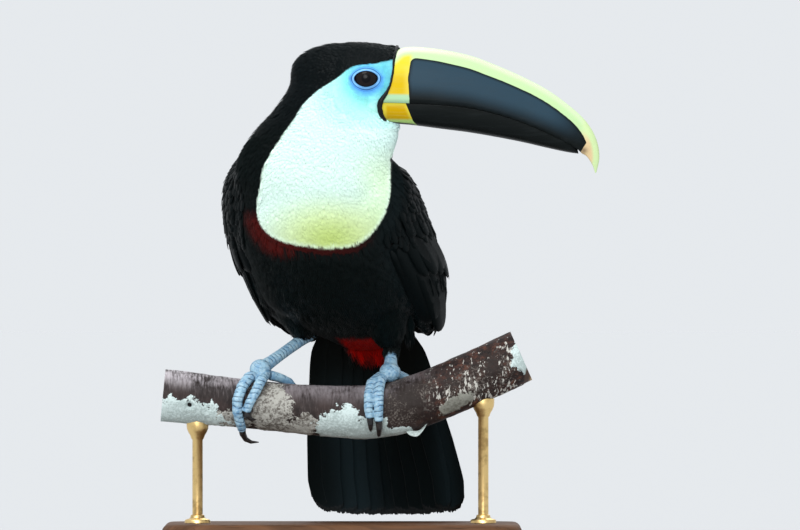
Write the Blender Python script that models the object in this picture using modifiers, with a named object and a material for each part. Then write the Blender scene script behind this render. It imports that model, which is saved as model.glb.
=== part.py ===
"""A yellow-ridged toucan, life size, gripping a short cut branch on a plain display stand.

The bird leans forward over its feet with the chest towards -Y and the tail hanging behind the branch.
Its head is turned square to its left, so that the bill points along +X and the right eye looks along -Y.
Sizes below are in millimetres, and MM turns them into metres where a mesh is made. +Z is up, and the
origin is on the underside of the stand, below the branch.

The body is modelled whole, as overlapping lofts joined by a voxel remesh, and is then parted by thin cuts.
"""

import math

import bmesh
import bpy
from mathutils import Matrix, Vector

MM = 0.001
GAP = 0.3  # clearance between neighbouring pieces

# Stand and branch
BASE_SIZE = (212.0, 192.0, 16.0)
BASE_CENTRE_Y = 26.0
BASE_CORNER = 30.0
BASE_EDGE = 2.0
ROD_RADIUS = 3.0
ROD_X = (-84.0, 82.0)
# Branch stations: x, height of the centre line, radius. It dips under the bird and then climbs away.
BRANCH = [
    (-104.0, 90.6, 15.2),
    (-86.0, 88.9, 14.9),
    (-62.0, 86.1, 14.3),
    (-34.0, 83.4, 14.2),
    (-8.0, 81.4, 14.7),
    (15.0, 81.0, 15.3),
    (35.0, 84.2, 15.6),
    (56.0, 91.7, 15.7),
    (80.0, 102.3, 15.6),
    (104.0, 113.4, 15.3),
]

# How the trunk stands: turned a little to the bird's right about a vertical line through the branch.
YAW = math.radians(20.0)
BODY_X = -2.4
BODY_LEAN = 0.05  # sideways shift to its right for each millimetre above the belly
BELLY_HEIGHT = 150.0

# Trunk stations along the spine, in the bird's own upright plane: distance behind the branch, height,
# half width, and half depth from breast to back.
TRUNK = [
    (45.0, 119.0, 13.0, 7.0),
    (36.0, 131.0, 28.0, 17.0),
    (21.0, 147.0, 43.0, 30.0),
    (3.0, 166.0, 52.0, 41.5),
    (-13.5, 188.0, 53.5, 47.5),
    (-28.0, 210.0, 49.5, 47.0),
    (-38.5, 228.0, 39.0, 38.5),
    (-44.0, 243.0, 27.0, 28.0),
]

# Neck stations from the shoulders up into the head: x, y, height, half length along x, half width along y.
NECK = [
    (-10.0, -14.0, 176.0, 30.0, 26.0),
    (-12.0, -25.0, 192.0, 42.0, 37.5),
    (-13.5, -32.0, 208.0, 47.0, 41.0),
    (-15.0, -38.0, 226.0, 47.0, 37.0),
    (-9.0, -43.5, 243.0, 43.5, 30.0),
    (-4.5, -47.5, 256.0, 36.0, 23.0),
    (-1.0, -50.0, 268.0, 31.0, 20.0),
    (3.0, -50.0, 280.0, 22.0, 15.0),
]

# Head stations from nape to bill: x, height of the middle, half height, half width.
HEAD_Y = -50.0
HEAD = [
    (-30.0, 275.0, 7.0, 6.0),
    (-25.0, 274.0, 14.5, 12.0),
    (-14.0, 273.0, 21.0, 17.0),
    (1.0, 271.6, 24.4, 20.0),
    (16.0, 270.8, 24.8, 20.0),
    (28.0, 270.5, 23.6, 18.6),
    (39.0, 271.0, 21.8, 17.6),
]

# How the lofts of the body are joined: voxel size, rounds of smoothing, share of the faces kept.
FLESH_VOXEL = 2.2
FLESH_SOFTENING = 12
FLESH_FACES_KEPT = 0.048
RING_POINTS = 32

# The thin cuts that part head from neck and neck from trunk: a point and the upward normal.
HEAD_CUT = ((-4.0, -48.0, 254.5), (0.3, -0.12, 1.0))
TRUNK_CUT = ((-14.0, -40.0, 224.0), (-0.12, -0.42, 1.0))

BILL_RINGS = 17
BILL_ARCH = 13  # points from edge to edge over a ring
BILL_FLATNESS = 1.45  # above 1 the arch is squarer than an ellipse, as the flat flanks of the bill are

# Bill curves in the plane of the head: x and height. Upper and lower bill meet along the gape line.
CULMEN = [
    (27.0, 286.0),
    (35.5, 291.9),
    (52.0, 291.6),
    (73.0, 287.7),
    (89.0, 281.9),
    (105.0, 274.9),
    (120.0, 266.9),
    (134.6, 256.0),
    (142.8, 247.4),
    (147.6, 238.2),
    (149.1, 228.6),
    (147.4, 219.8),
]
GAPE = [
    (17.0, 260.0),
    (28.0, 260.2),
    (57.4, 259.0),
    (74.0, 257.2),
    (89.0, 253.8),
    (104.0, 249.0),
    (119.5, 242.4),
    (132.0, 236.0),
    (138.5, 231.6),
    (142.6, 228.2),
    (145.2, 224.2),
    (146.6, 219.6),
]
KEEL = [
    (20.0, 249.6),
    (29.0, 248.2),
    (42.0, 247.0),
    (57.4, 245.0),
    (73.0, 243.0),
    (88.5, 240.4),
    (104.0, 237.4),
    (119.6, 233.8),
    (130.0, 231.6),
    (137.0, 230.6),
]
# Half width of the bill where it meets along the gape, from face to tip.
BILL_HALF_WIDTH = [17.0, 17.0, 16.4, 15.4, 14.4, 13.0, 11.4, 9.2, 7.2, 4.6, 2.6, 0.8]
# Edge of the feathered face, seen from the side, where the bill comes out of it.
FACE_EDGE = [
    (36.6, 300.0),
    (35.0, 292.5),
    (31.9, 282.2),
    (29.8, 269.0),
    (26.4, 263.6),
    (22.6, 260.2),
    (21.6, 256.6),
    (23.8, 252.0),
    (28.6, 248.6),
    (38.0, 247.2),
]
FACE_FRONT = [(90.0, 244.0), (90.0, 300.0)]  # corners that close the cutter, well in front of the face
FACE_DEPTH = 40.0

EYE_RADIUS = 7.6
EYE_X = 14.0
EYE_Z = 274.0
EYE_OUT = 14.6  # eye centre from the middle of the head

# Tail: root, its turn about the vertical, its slope from the vertical, and stations down its length.
TAIL_ROOT = (13.5, 35.0, 131.0)
TAIL_YAW = math.radians(9.0)
TAIL_SLOPE = math.radians(40.0)
TAIL_STATIONS = [
    # distance down the tail, half width, thickness
    (0.0, 25.0, 7.0),
    (18.0, 33.0, 6.0),
    (52.0, 38.0, 4.6),
    (86.0, 42.4, 3.6),
    (117.0, 44.8, 2.8),
    (130.0, 43.6, 2.4),
    (137.0, 39.5, 2.1),
    (142.0, 33.0, 1.8),
    (144.6, 25.0, 1.5),
]
TAIL_ARCH = 3.0  # the outer feathers lie this much nearer the belly side than the middle ones
TAIL_ROUNDING = 3.0  # and end this much sooner
TAIL_RIM = 0.35  # thickness at the side edges, as a share of the middle's
TAIL_STEPS = 8

# Wing stations from the bend of the wing to its tip: distance behind the branch, height, then the band
# that the folded wing covers round the body, as two angles from straight out to the side (negative is
# towards the breast), the half width and half depth of its outer surface, and its thickness.
WING = [
    (-44.0, 231.0, -18.0, 30.0, 37.0, 43.0, 2.5),
    (-39.0, 224.0, -34.0, 46.0, 47.0, 47.0, 6.0),
    (-28.0, 210.0, -44.0, 58.0, 56.5, 49.5, 9.0),
    (-13.0, 188.0, -42.0, 66.0, 61.0, 50.5, 9.0),
    (4.0, 165.0, -36.0, 70.0, 62.5, 48.0, 10.0),
    (19.0, 147.0, -26.0, 70.0, 59.0, 41.0, 11.0),
    (31.0, 132.0, -12.0, 66.0, 50.0, 32.0, 10.0),
    (37.5, 123.5, 4.0, 50.0, 44.5, 27.0, 4.0),
]
WING_STEPS = 8

# Legs: the joint over the branch where the toes meet, and the ankle, for each side: x, y, height.
FOOT = {"right": (-47.5, -1.0, 105.6), "left": (27.8, -1.0, 103.8)}
ANKLE = {"right": (-17.0, 32.0, 127.5), "left": (30.0, 23.0, 141.0)}
FOOT_SIZE = (6.0, 6.6, 5.6)
SHANK_RADIUS = 3.1
CUFF_RADIUS = 5.8
HIP = (25.0, 2.0, 152.0)  # out from the spine, behind the branch, height
THIGH_REACH = {"right": 0.16, "left": 0.62}  # how far down the shank the thigh's feathers come

# Toes: name, then where the toe lies on the branch as pairs of x and the angle round it from the top
# (positive to the front), its radius at the root, and the rest of the claw as x, angle and height over
# the bark.
TOES = {
    "right": [
        (
            "outer_front",
            [
                (-50.0, 4.0),
                (-55.6, 32.0),
                (-59.0, 57.0),
                (-60.9, 84.0),
                (-60.4, 105.0),
                (-58.2, 127.0),
                (-56.6, 146.0),
            ],
            3.3,
            [(-56.0, 157.0, 4.6), (-54.0, 168.0, 6.6), (-50.8, 175.0, 7.6), (-46.4, 179.0, 7.2)],
        ),
        (
            "inner_front",
            [(-46.5, 6.0), (-48.4, 36.0), (-50.6, 62.0), (-53.6, 86.0), (-55.2, 104.0)],
            3.2,
            [(-54.2, 112.0, 3.8), (-52.0, 118.0, 3.6), (-49.2, 121.0, 2.2)],
        ),
        (
            "inner_hind",
            [(-43.6, -6.0), (-38.2, -17.0), (-32.4, -32.0), (-28.4, -52.0), (-26.6, -72.0)],
            2.8,
            [(-26.2, -84.0, 3.4), (-26.2, -97.0, 3.0), (-26.4, -108.0, 1.6)],
        ),
        (
            "outer_hind",
            [(-50.4, -6.0), (-54.4, -30.0), (-57.0, -58.0), (-58.2, -86.0), (-58.4, -108.0)],
            3.1,
            [(-58.2, -121.0, 3.8), (-57.8, -134.0, 3.6), (-57.4, -146.0, 2.0)],
        ),
    ],
    "left": [
        (
            "inner_front",
            [(24.6, 8.0), (18.6, 32.0), (16.0, 60.0), (15.3, 84.0), (15.8, 101.0)],
            3.0,
            [(16.0, 112.0, 3.4), (15.9, 123.0, 3.0), (15.8, 133.0, 1.6)],
        ),
        (
            "outer_front",
            [(27.6, 6.0), (24.6, 30.0), (22.6, 56.0), (21.4, 82.0), (20.6, 108.0)],
            3.3,
            [(20.4, 122.0, 3.9), (20.0, 136.0, 3.8), (19.6, 150.0, 2.0)],
        ),
        (
            "outer_hind",
            [(31.4, -6.0), (36.6, -18.0), (41.2, -38.0), (44.0, -62.0), (45.2, -86.0)],
            3.1,
            [(45.6, -99.0, 3.8), (45.6, -112.0, 3.6), (45.4, -124.0, 2.0)],
        ),
        (
            "inner_hind",
            [(26.6, -8.0), (23.8, -30.0), (21.8, -56.0), (21.0, -80.0)],
            2.8,
            [(20.8, -92.0, 3.4), (20.8, -105.0, 3.0), (20.8, -116.0, 1.6)],
        ),
    ],
}
TOE_TAPER = 0.26
TOE_LIFT = 0.95  # bark to toe at each station, which leaves the gap where the toe runs straight between two
CLAW_SHARE = 0.85  # a claw's radius at its root, as a share of the toe's end
CLAW_POINT = 0.25

COLOURS = {
    # base colour, roughness, metallic
    "plumage_black": ((0.006, 0.007, 0.009), 0.55, 0.0),
    "plumage_white": ((0.86, 0.9, 0.82), 0.8, 0.0),
    "bill_horn": ((0.02, 0.022, 0.026), 0.3, 0.0),
    "leg_blue": ((0.24, 0.42, 0.62), 0.6, 0.0),
    "claw_horn": ((0.02, 0.02, 0.022), 0.4, 0.0),
    "eye": ((0.01, 0.008, 0.008), 0.1, 0.0),
    "bark": ((0.12, 0.09, 0.08), 0.9, 0.0),
    "stand_wood": ((0.05, 0.03, 0.02), 0.45, 0.0),
    "stand_metal": ((0.55, 0.5, 0.42), 0.35, 1.0),
}


def clear_scene():
    for obj in list(bpy.data.objects):
        bpy.data.objects.remove(obj, do_unlink=True)


def collection(name):
    made = bpy.data.collections.new(name)
    bpy.context.scene.collection.children.link(made)
    return made


def material(name):
    found = bpy.data.materials.get(name)
    if found:
        return found
    colour, roughness, metallic = COLOURS[name]
    made = bpy.data.materials.new(name)
    made.use_nodes = True
    shader = made.node_tree.nodes["Principled BSDF"]
    shader.inputs["Base Color"].default_value = (*colour, 1.0)
    shader.inputs["Roughness"].default_value = roughness
    shader.inputs["Metallic"].default_value = metallic
    return made


def place(name, mesh, finish, where):
    """An object of this mesh, in the collection, with its finish."""
    obj = bpy.data.objects.new(name, mesh)
    where.objects.link(obj)
    mesh.name = name
    mesh.materials.clear()
    mesh.materials.append(material(finish))
    mesh.shade_smooth()
    mesh.set_sharp_from_angle(angle=math.radians(40))
    return obj


def mesh_from(bm):
    """The bmesh as a new mesh in metres. The bmesh is freed."""
    bmesh.ops.scale(bm, vec=(MM, MM, MM), verts=bm.verts)
    mesh = bpy.data.meshes.new("mesh")
    bm.to_mesh(mesh)
    bm.free()
    return mesh


def catmull_rom(before, near, far, after, t):
    """The value at share t of the way from near to far on the smooth curve through four numbers."""
    slope = (far - before) / 2
    bend = before - 2.5 * near + 2 * far - after / 2
    twist = (after - before) / 2 + 1.5 * (near - far)
    return near + slope * t + bend * t**2 + twist * t**3


def smooth_rows(rows, per_span):
    """A smooth curve through the rows of numbers, with per_span steps between two of them."""
    first = [2 * a - b for a, b in zip(rows[0], rows[1])]
    last = [2 * a - b for a, b in zip(rows[-1], rows[-2])]
    padded = [first, *rows, last]
    made = []
    for k in range(1, len(padded) - 2):
        for step in range(per_span):
            t = step / per_span
            made.append([catmull_rom(*four, t) for four in zip(*padded[k - 1 : k + 3])])
    made.append(list(rows[-1]))
    return made


def ellipse(centre, side, up, half_side, half_up, count):
    """Points round an ellipse in the plane of two unit directions."""
    turns = (2 * math.pi * k / count for k in range(count))
    return [centre + side * (half_side * math.cos(a)) + up * (half_up * math.sin(a)) for a in turns]


def loft(bm, rings):
    """Joins rings of equal count by quads and closes both ends, in the given bmesh."""
    loops = [[bm.verts.new(p) for p in ring] for ring in rings]
    count = len(rings[0])
    faces = []
    for near, far in zip(loops, loops[1:]):
        for k in range(count):
            faces.append(bm.faces.new((near[k], near[(k + 1) % count], far[(k + 1) % count], far[k])))
    faces.append(bm.faces.new(list(reversed(loops[0]))))
    faces.append(bm.faces.new(loops[-1]))
    bmesh.ops.recalc_face_normals(bm, faces=faces)


def body_point(side, behind, height):
    """A point given in the bird's own frame (to its left, behind the branch, height) in the row's frame."""
    return Vector(
        (
            BODY_X + side * math.cos(YAW) + behind * math.sin(YAW) - BODY_LEAN * (height - BELLY_HEIGHT),
            -side * math.sin(YAW) + behind * math.cos(YAW),
            height,
        )
    )


def body_direction(side, behind, height):
    return (body_point(side, behind, height) - body_point(0, 0, 0)).normalized()


def evaluated_mesh(obj):
    """The object's mesh with its modifiers, in the row's frame. The object is removed."""
    bpy.context.view_layer.update()
    graph = bpy.context.evaluated_depsgraph_get()
    mesh = bpy.data.meshes.new_from_object(obj.evaluated_get(graph))
    mesh.transform(obj.matrix_world)
    bpy.data.objects.remove(obj, do_unlink=True)
    return mesh


def limb(name, stations, sides, finish):
    """A round limb through stations of x, y, height and radius: a curve made into a mesh, its caps welded."""
    data = bpy.data.curves.new(name, "CURVE")
    data.dimensions = "3D"
    data.bevel_depth = MM
    data.bevel_resolution = (sides - 4) // 2
    data.use_fill_caps = True
    spline = data.splines.new("POLY")
    spline.points.add(len(stations) - 1)
    for point, (x, y, z, radius) in zip(spline.points, stations):
        point.co = (x * MM, y * MM, z * MM, 1)
        point.radius = radius
    guide = bpy.data.objects.new(name + "_guide", data)
    PARTS.objects.link(guide)
    mesh = evaluated_mesh(guide)
    bpy.data.curves.remove(data)
    bm = bmesh.new()
    bm.from_mesh(mesh)
    bmesh.ops.remove_doubles(bm, verts=bm.verts, dist=1e-6)
    bm.to_mesh(mesh)
    bm.free()
    return place(name, mesh, finish, PARTS)


def boolean(obj, tool):
    """Cuts the object by a cutter."""
    modifier = obj.modifiers.new("Cut by " + tool.name, "BOOLEAN")
    modifier.operation = "DIFFERENCE"
    modifier.object = tool
    modifier.solver = "EXACT"


def cutter(name, mesh, grow=GAP):
    """A hidden copy of a closed mesh, grown by the gap along its normals, to cut its neighbours with."""
    copy = mesh.copy()
    bm = bmesh.new()
    bm.from_mesh(copy)
    bm.normal_update()
    for vert in bm.verts:
        vert.co += vert.normal * (grow * MM * vert.calc_shell_factor())
    bm.to_mesh(copy)
    bm.free()
    obj = bpy.data.objects.new(name, copy)
    CUTTERS.objects.link(obj)
    obj.hide_render = True
    obj.display_type = "WIRE"
    return obj


# ---- Body: one flesh volume, parted into head, neck and trunk ----


def trunk_rings(bm):
    rings = []
    rows = smooth_rows(TRUNK, 3)
    for k, (behind, height, half_width, half_depth) in enumerate(rows):
        near, far = rows[max(k - 1, 0)], rows[min(k + 1, len(rows) - 1)]
        up = body_direction(0, -(far[1] - near[1]), far[0] - near[0])
        centre = body_point(0, behind, height)
        rings.append(ellipse(centre, body_direction(1, 0, 0), up, half_width, half_depth, RING_POINTS))
    loft(bm, rings)


def neck_rings(bm):
    rings = []
    along, across = Vector((1, 0, 0)), Vector((0, 1, 0))
    for x, y, height, half_long, half_wide in smooth_rows(NECK, 3):
        centre = Vector((x, y, height))
        rings.append(ellipse(centre, along, across, half_long, half_wide, RING_POINTS))
    loft(bm, rings)


def head_rings(bm):
    rings = []
    across, up = Vector((0, 1, 0)), Vector((0, 0, 1))
    for x, middle, half_height, half_width in smooth_rows(HEAD, 3):
        centre = Vector((x, HEAD_Y, middle))
        rings.append(ellipse(centre, across, up, half_width, half_height, RING_POINTS))
    loft(bm, rings)


def flesh():
    """Trunk, neck and head joined into one closed volume."""
    bm = bmesh.new()
    trunk_rings(bm)
    neck_rings(bm)
    head_rings(bm)
    obj = bpy.data.objects.new("flesh", mesh_from(bm))
    bpy.context.scene.collection.objects.link(obj)
    remesh = obj.modifiers.new("Remesh", "REMESH")
    remesh.mode = "VOXEL"
    remesh.voxel_size = FLESH_VOXEL * MM
    soften = obj.modifiers.new("Soften", "SMOOTH")
    soften.iterations = FLESH_SOFTENING
    soften.factor = 0.5
    thin = obj.modifiers.new("Thin", "DECIMATE")
    thin.ratio = FLESH_FACES_KEPT
    return evaluated_mesh(obj)


def part_by_planes(mesh, planes):
    """A copy of the mesh cut by each plane, given as a point and the normal that leaves the kept part."""
    bm = bmesh.new()
    bm.from_mesh(mesh)
    for point, normal in planes:
        whole = bm.verts[:] + bm.edges[:] + bm.faces[:]
        at = (Vector(point) - Vector(normal).normalized() * (GAP / 2)) * MM
        cut = bmesh.ops.bisect_plane(
            bm, geom=whole, plane_co=at, plane_no=normal, clear_outer=True, dist=1e-7
        )
        rim = [e for e in cut["geom_cut"] if isinstance(e, bmesh.types.BMEdge)]
        bmesh.ops.holes_fill(bm, edges=rim)
    bmesh.ops.triangulate(bm, faces=bm.faces[:])
    made = bpy.data.meshes.new("part")
    bm.to_mesh(made)
    bm.free()
    return made


def prism(name, outline, low_y, high_y):
    """A cutter: an outline in x and height, extruded along y."""
    bm = bmesh.new()
    face = bm.faces.new([bm.verts.new((x, low_y, z)) for x, z in outline])
    swept = bmesh.ops.extrude_face_region(bm, geom=[face])
    moved = [g for g in swept["geom"] if isinstance(g, bmesh.types.BMVert)]
    bmesh.ops.translate(bm, vec=(0, high_y - low_y, 0), verts=moved)
    bmesh.ops.recalc_face_normals(bm, faces=bm.faces)
    return cutter(name, mesh_from(bm), 0.0)


def build_body():
    whole = flesh()

    def turned(plane):
        return plane[0], tuple(-n for n in plane[1])

    head = place("head", part_by_planes(whole, [turned(HEAD_CUT)]), "plumage_black", PARTS)
    neck = place("neck", part_by_planes(whole, [HEAD_CUT, turned(TRUNK_CUT)]), "plumage_white", PARTS)
    trunk = place("trunk", part_by_planes(whole, [TRUNK_CUT]), "plumage_black", PARTS)
    face = prism("face_cutter", FACE_EDGE + FACE_FRONT, HEAD_Y - FACE_DEPTH, HEAD_Y + FACE_DEPTH)
    for obj in (head, neck):
        boolean(obj, face)
    return whole, head, neck, trunk


# ---- Bill and eyes ----


def bill_ring(top, bottom, half_width):
    """One section of a bill half: an arch from edge to edge over the top point, closed straight below."""
    centre = Vector((bottom[0], HEAD_Y, bottom[1]))
    rise = Vector((top[0], HEAD_Y, top[1])) - centre
    ring = []
    for k in range(BILL_ARCH):
        a = math.pi * k / (BILL_ARCH - 1)
        out = math.copysign(abs(math.cos(a)) ** (1 / BILL_FLATNESS), math.cos(a)) * half_width
        ring.append(centre + Vector((0, out, 0)) + rise * (math.sin(a) ** (1 / BILL_FLATNESS)))
    return ring


def spread(rows, count):
    """Rows of a curve resampled evenly by index."""
    fine = smooth_rows(rows, 12)
    return [fine[round(k * (len(fine) - 1) / (count - 1))] for k in range(count)]


def bill_half(name, ridge, seam, shift, widths):
    ridge, seam = spread(ridge, BILL_RINGS), spread(seam, BILL_RINGS)
    half_widths = spread([(w,) for w in widths], BILL_RINGS)
    bm = bmesh.new()
    rings = []
    for top, bottom, (half_width,) in zip(ridge, seam, half_widths):
        rings.append(bill_ring(top, (bottom[0], bottom[1] + shift), half_width))
    loft(bm, rings)
    return place(name, mesh_from(bm), "bill_horn", PARTS)


def build_bill(head, neck):
    upper = bill_half("bill_upper", CULMEN, GAPE, GAP / 2, BILL_HALF_WIDTH)
    lower_seam = GAPE[:8] + [(136.4, 233.4)]
    lower_widths = [w - 0.5 for w in BILL_HALF_WIDTH[:8]] + [4.2]
    lower = bill_half("bill_lower", KEEL, lower_seam, -GAP / 2, lower_widths)
    for part in (upper, lower):
        tool = cutter(part.name + "_cutter", part.data)
        boolean(head, tool)
        boolean(neck, tool)


def build_eyes(head):
    for side, sign in (("right", -1), ("left", 1)):
        bm = bmesh.new()
        bmesh.ops.create_uvsphere(bm, u_segments=14, v_segments=8, radius=EYE_RADIUS)
        bmesh.ops.rotate(bm, verts=bm.verts, matrix=Matrix.Rotation(math.pi / 2, 3, "X"))
        bmesh.ops.translate(bm, vec=(EYE_X, HEAD_Y + sign * EYE_OUT, EYE_Z), verts=bm.verts)
        eye = place("eye_" + side, mesh_from(bm), "eye", PARTS)
        boolean(head, cutter(eye.name + "_cutter", eye.data))


# ---- Wings and tail ----


def wing(side, sign):
    """A folded wing: a curved plate over the flank, thin at its edges, its inner face in the body's cut."""
    rings = []
    rows = smooth_rows(WING, 2)
    for k, (behind, height, low, high, half_width, half_depth, thick) in enumerate(rows):
        near, far = rows[max(k - 1, 0)], rows[min(k + 1, len(rows) - 1)]
        back = body_direction(0, -(far[1] - near[1]), far[0] - near[0])
        if back.y < 0:
            back = -back
        out = body_direction(sign, 0, 0)
        centre = body_point(0, behind, height)
        outer, inner = [], []
        for n in range(WING_STEPS + 1):
            a = math.radians(low + (high - low) * n / WING_STEPS)
            edge = math.sin(math.pi * n / WING_STEPS) ** 0.5 if 0 < n < WING_STEPS else 0.0
            for points, depth in ((outer, thick * (1 - edge) * 0.8), (inner, thick * (1.4 + 0.4 * edge))):
                sideways = out * ((half_width - depth) * math.cos(a))
                points.append(centre + sideways + back * ((half_depth - depth) * math.sin(a)))
        rings.append(outer + inner[::-1])
    bm = bmesh.new()
    loft(bm, rings)
    return place("wing_" + side, mesh_from(bm), "plumage_black", PARTS)


def tail():
    root = Vector(TAIL_ROOT)
    side = Vector((math.cos(TAIL_YAW), -math.sin(TAIL_YAW), 0))
    back = Vector((math.sin(TAIL_YAW), math.cos(TAIL_YAW), 0))
    down = back * math.sin(TAIL_SLOPE) - Vector((0, 0, math.cos(TAIL_SLOPE)))
    upper = back * math.cos(TAIL_SLOPE) + Vector((0, 0, math.sin(TAIL_SLOPE)))
    rings = []
    for distance, half_width, thick in TAIL_STATIONS:
        over, under = [], []
        for k in range(TAIL_STEPS + 1):
            share = 2 * k / TAIL_STEPS - 1
            centre = root + down * (distance - TAIL_ROUNDING * share**2) + side * (half_width * share)
            rim = TAIL_RIM + (1 - TAIL_RIM) * math.sqrt(max(0.0, 1 - share**4))
            over.append(centre + upper * (thick / 2 * rim - TAIL_ARCH * share**2))
            under.append(centre + upper * (-thick / 2 * rim - TAIL_ARCH * share**2))
        rings.append(over + under[::-1])
    bm = bmesh.new()
    loft(bm, rings)
    return place("tail", mesh_from(bm), "plumage_black", PARTS)


# ---- Branch and stand ----


def branch_at(x):
    """Centre, direction and radius of the branch at this x."""
    rows = smooth_rows(BRANCH, 12)
    near, far = next(pair for pair in zip(rows, rows[1:]) if x <= pair[1][0])
    t = (x - near[0]) / (far[0] - near[0])
    height, radius = (a + (b - a) * t for a, b in zip(near[1:], far[1:]))
    along = Vector((far[0] - near[0], 0, far[1] - near[1])).normalized()
    return Vector((x, 0, height)), along, radius


def around_branch(x, angle, clear):
    """A point at this angle round the branch from its top, `clear` outside its surface."""
    centre, along, radius = branch_at(x)
    upright = Vector((-along.z, 0, along.x))
    a = math.radians(angle)
    return centre + (upright * math.cos(a) + Vector((0, -math.sin(a), 0))) * (radius + clear)


def build_branch():
    stations = [(x, 0, height, radius) for x, height, radius in smooth_rows(BRANCH, 2)]
    return limb("perch_branch", stations, 16, "bark")


def build_stand(branch):
    width, depth, thick = BASE_SIZE
    bm = bmesh.new()
    bmesh.ops.create_cube(bm, size=1.0)
    bmesh.ops.scale(bm, vec=BASE_SIZE, verts=bm.verts)
    bmesh.ops.translate(bm, vec=(0, BASE_CENTRE_Y, thick / 2), verts=bm.verts)
    upright = [e for e in bm.edges if abs(e.verts[0].co.z - e.verts[1].co.z) > 1]
    bmesh.ops.bevel(
        bm, geom=upright, offset=BASE_CORNER, segments=6, profile=0.5, affect="EDGES", material=-1
    )
    top = [e for e in bm.edges if all(v.co.z > thick - 0.01 for v in e.verts) and len(e.link_faces) == 2]
    bmesh.ops.bevel(bm, geom=top, offset=BASE_EDGE, segments=2, profile=0.5, affect="EDGES", material=-1)
    place("stand_base", mesh_from(bm), "stand_wood", PARTS)
    tool = cutter("branch_cutter", branch.data)
    for name, x in zip(("left_hand", "right_hand"), ROD_X):
        low, high = thick + GAP, branch_at(x)[0].z
        bm = bmesh.new()
        bmesh.ops.create_cone(
            bm, cap_ends=True, segments=14, radius1=ROD_RADIUS, radius2=ROD_RADIUS, depth=high - low
        )
        bmesh.ops.translate(bm, vec=(x, 0, (low + high) / 2), verts=bm.verts)
        rod = place("stand_rod_" + name, mesh_from(bm), "stand_metal", PARTS)
        boolean(rod, tool)


# ---- Legs ----


def build_leg(side, trunk_tool, branch_tool):
    sign = -1 if side == "right" else 1
    ankle, joint = Vector(ANKLE[side]), Vector(FOOT[side])
    name = "leg_" + side
    # The joint over the branch, where shank and toes meet.
    bm = bmesh.new()
    bmesh.ops.create_uvsphere(bm, u_segments=12, v_segments=8, radius=1.0)
    bmesh.ops.scale(bm, vec=FOOT_SIZE, verts=bm.verts)
    bmesh.ops.translate(bm, vec=joint, verts=bm.verts)
    foot = place(name + "_foot", mesh_from(bm), "leg_blue", PARTS)
    boolean(foot, branch_tool)
    foot_tool = cutter(name + "_foot_cutter", foot.data)
    # The bare shank, from the joint to the ankle.
    stations = []
    for k in range(6):
        t = k / 5
        swell = 1.0 + 0.45 * (2 * abs(t - 0.5)) ** 3
        stations.append((*joint.lerp(ankle, t), SHANK_RADIUS * swell))
    shank = limb(name + "_shank", stations, 10, "leg_blue")
    boolean(shank, foot_tool)
    # The feathered thigh, from inside the belly down over the ankle.
    hip = body_point(sign * HIP[0], *HIP[1:])
    cuff = ankle.lerp(joint, THIGH_REACH[side])
    rows = [(*hip, 17.0), (*hip.lerp(cuff, 0.4), 15.0), (*hip.lerp(cuff, 0.75), 10.5), (*cuff, CUFF_RADIUS)]
    thigh = limb(name + "_thigh", smooth_rows(rows, 2), 12, "plumage_black")
    boolean(thigh, trunk_tool)
    boolean(thigh, cutter(name + "_shank_cutter", shank.data))
    boolean(shank, trunk_tool)
    taken = [foot_tool]
    for toe_name, path, radius, claw in TOES[side]:
        taken.append(build_toe(f"{side}_{toe_name}", path, radius, claw, taken))
    return thigh


def build_toe(name, path, root_radius, claw_path, taken):
    """One toe and its claw, clear of the pieces already there. Gives the toe's own cutter."""
    stations = []
    for k, (x, angle) in enumerate(path):
        radius = root_radius * (1.0 - TOE_TAPER * k / (len(path) - 1))
        stations.append((*around_branch(x, angle, radius + TOE_LIFT), radius))
    toe = limb("toe_" + name, stations, 8, "leg_blue")
    for tool in taken:
        boolean(toe, tool)
    # The claw carries on from the toe's end and curves clear of the bark.
    *end, end_radius = stations[-1]
    claw = [(*end, CLAW_SHARE * end_radius)]
    for k, (x, angle, lift) in enumerate(claw_path, 1):
        radius = CLAW_SHARE * end_radius * (1 - k / len(claw_path)) ** 0.75 + CLAW_POINT
        claw.append((*around_branch(x, angle, max(lift, radius + TOE_LIFT)), radius))
    horn = limb("claw_" + name, claw, 8, "claw_horn")
    toe_tool = cutter("toe_" + name + "_cutter", toe.data)
    boolean(horn, toe_tool)
    return toe_tool


def main():
    clear_scene()
    global PARTS, CUTTERS
    PARTS = collection("toucan")
    CUTTERS = collection("cutters")
    whole, head, neck, trunk = build_body()
    build_bill(head, neck)
    build_eyes(head)
    branch = build_branch()
    build_stand(branch)
    body_tool = cutter("body_cutter", whole)
    rear = tail()
    boolean(rear, body_tool)
    tail_tool = cutter("tail_cutter", rear.data)
    wings = [wing("right", -1), wing("left", 1)]
    for folded in wings:
        boolean(folded, body_tool)
        boolean(folded, tail_tool)
    branch_tool = bpy.data.objects["branch_cutter"]
    for side, folded in zip(("right", "left"), wings):
        thigh = build_leg(side, body_tool, branch_tool)
        boolean(thigh, tail_tool)
        boolean(folded, cutter(thigh.name + "_cutter", thigh.data))


main()
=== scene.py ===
"""The looks of a yellow-ridged toucan on a cut perch: feathers, horn, skin, bark and a display stand.

The bird's chest faces -Y and its bill points along +X. Sizes are in metres unless a name says otherwise,
and lengths written as 3.2 * MM are in millimetres.
"""

import math

import bmesh
import bpy
import numpy as np
from mathutils import Matrix, Vector, noise as mathutils_noise
from mathutils.bvhtree import BVHTree
from mathutils.kdtree import KDTree


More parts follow.
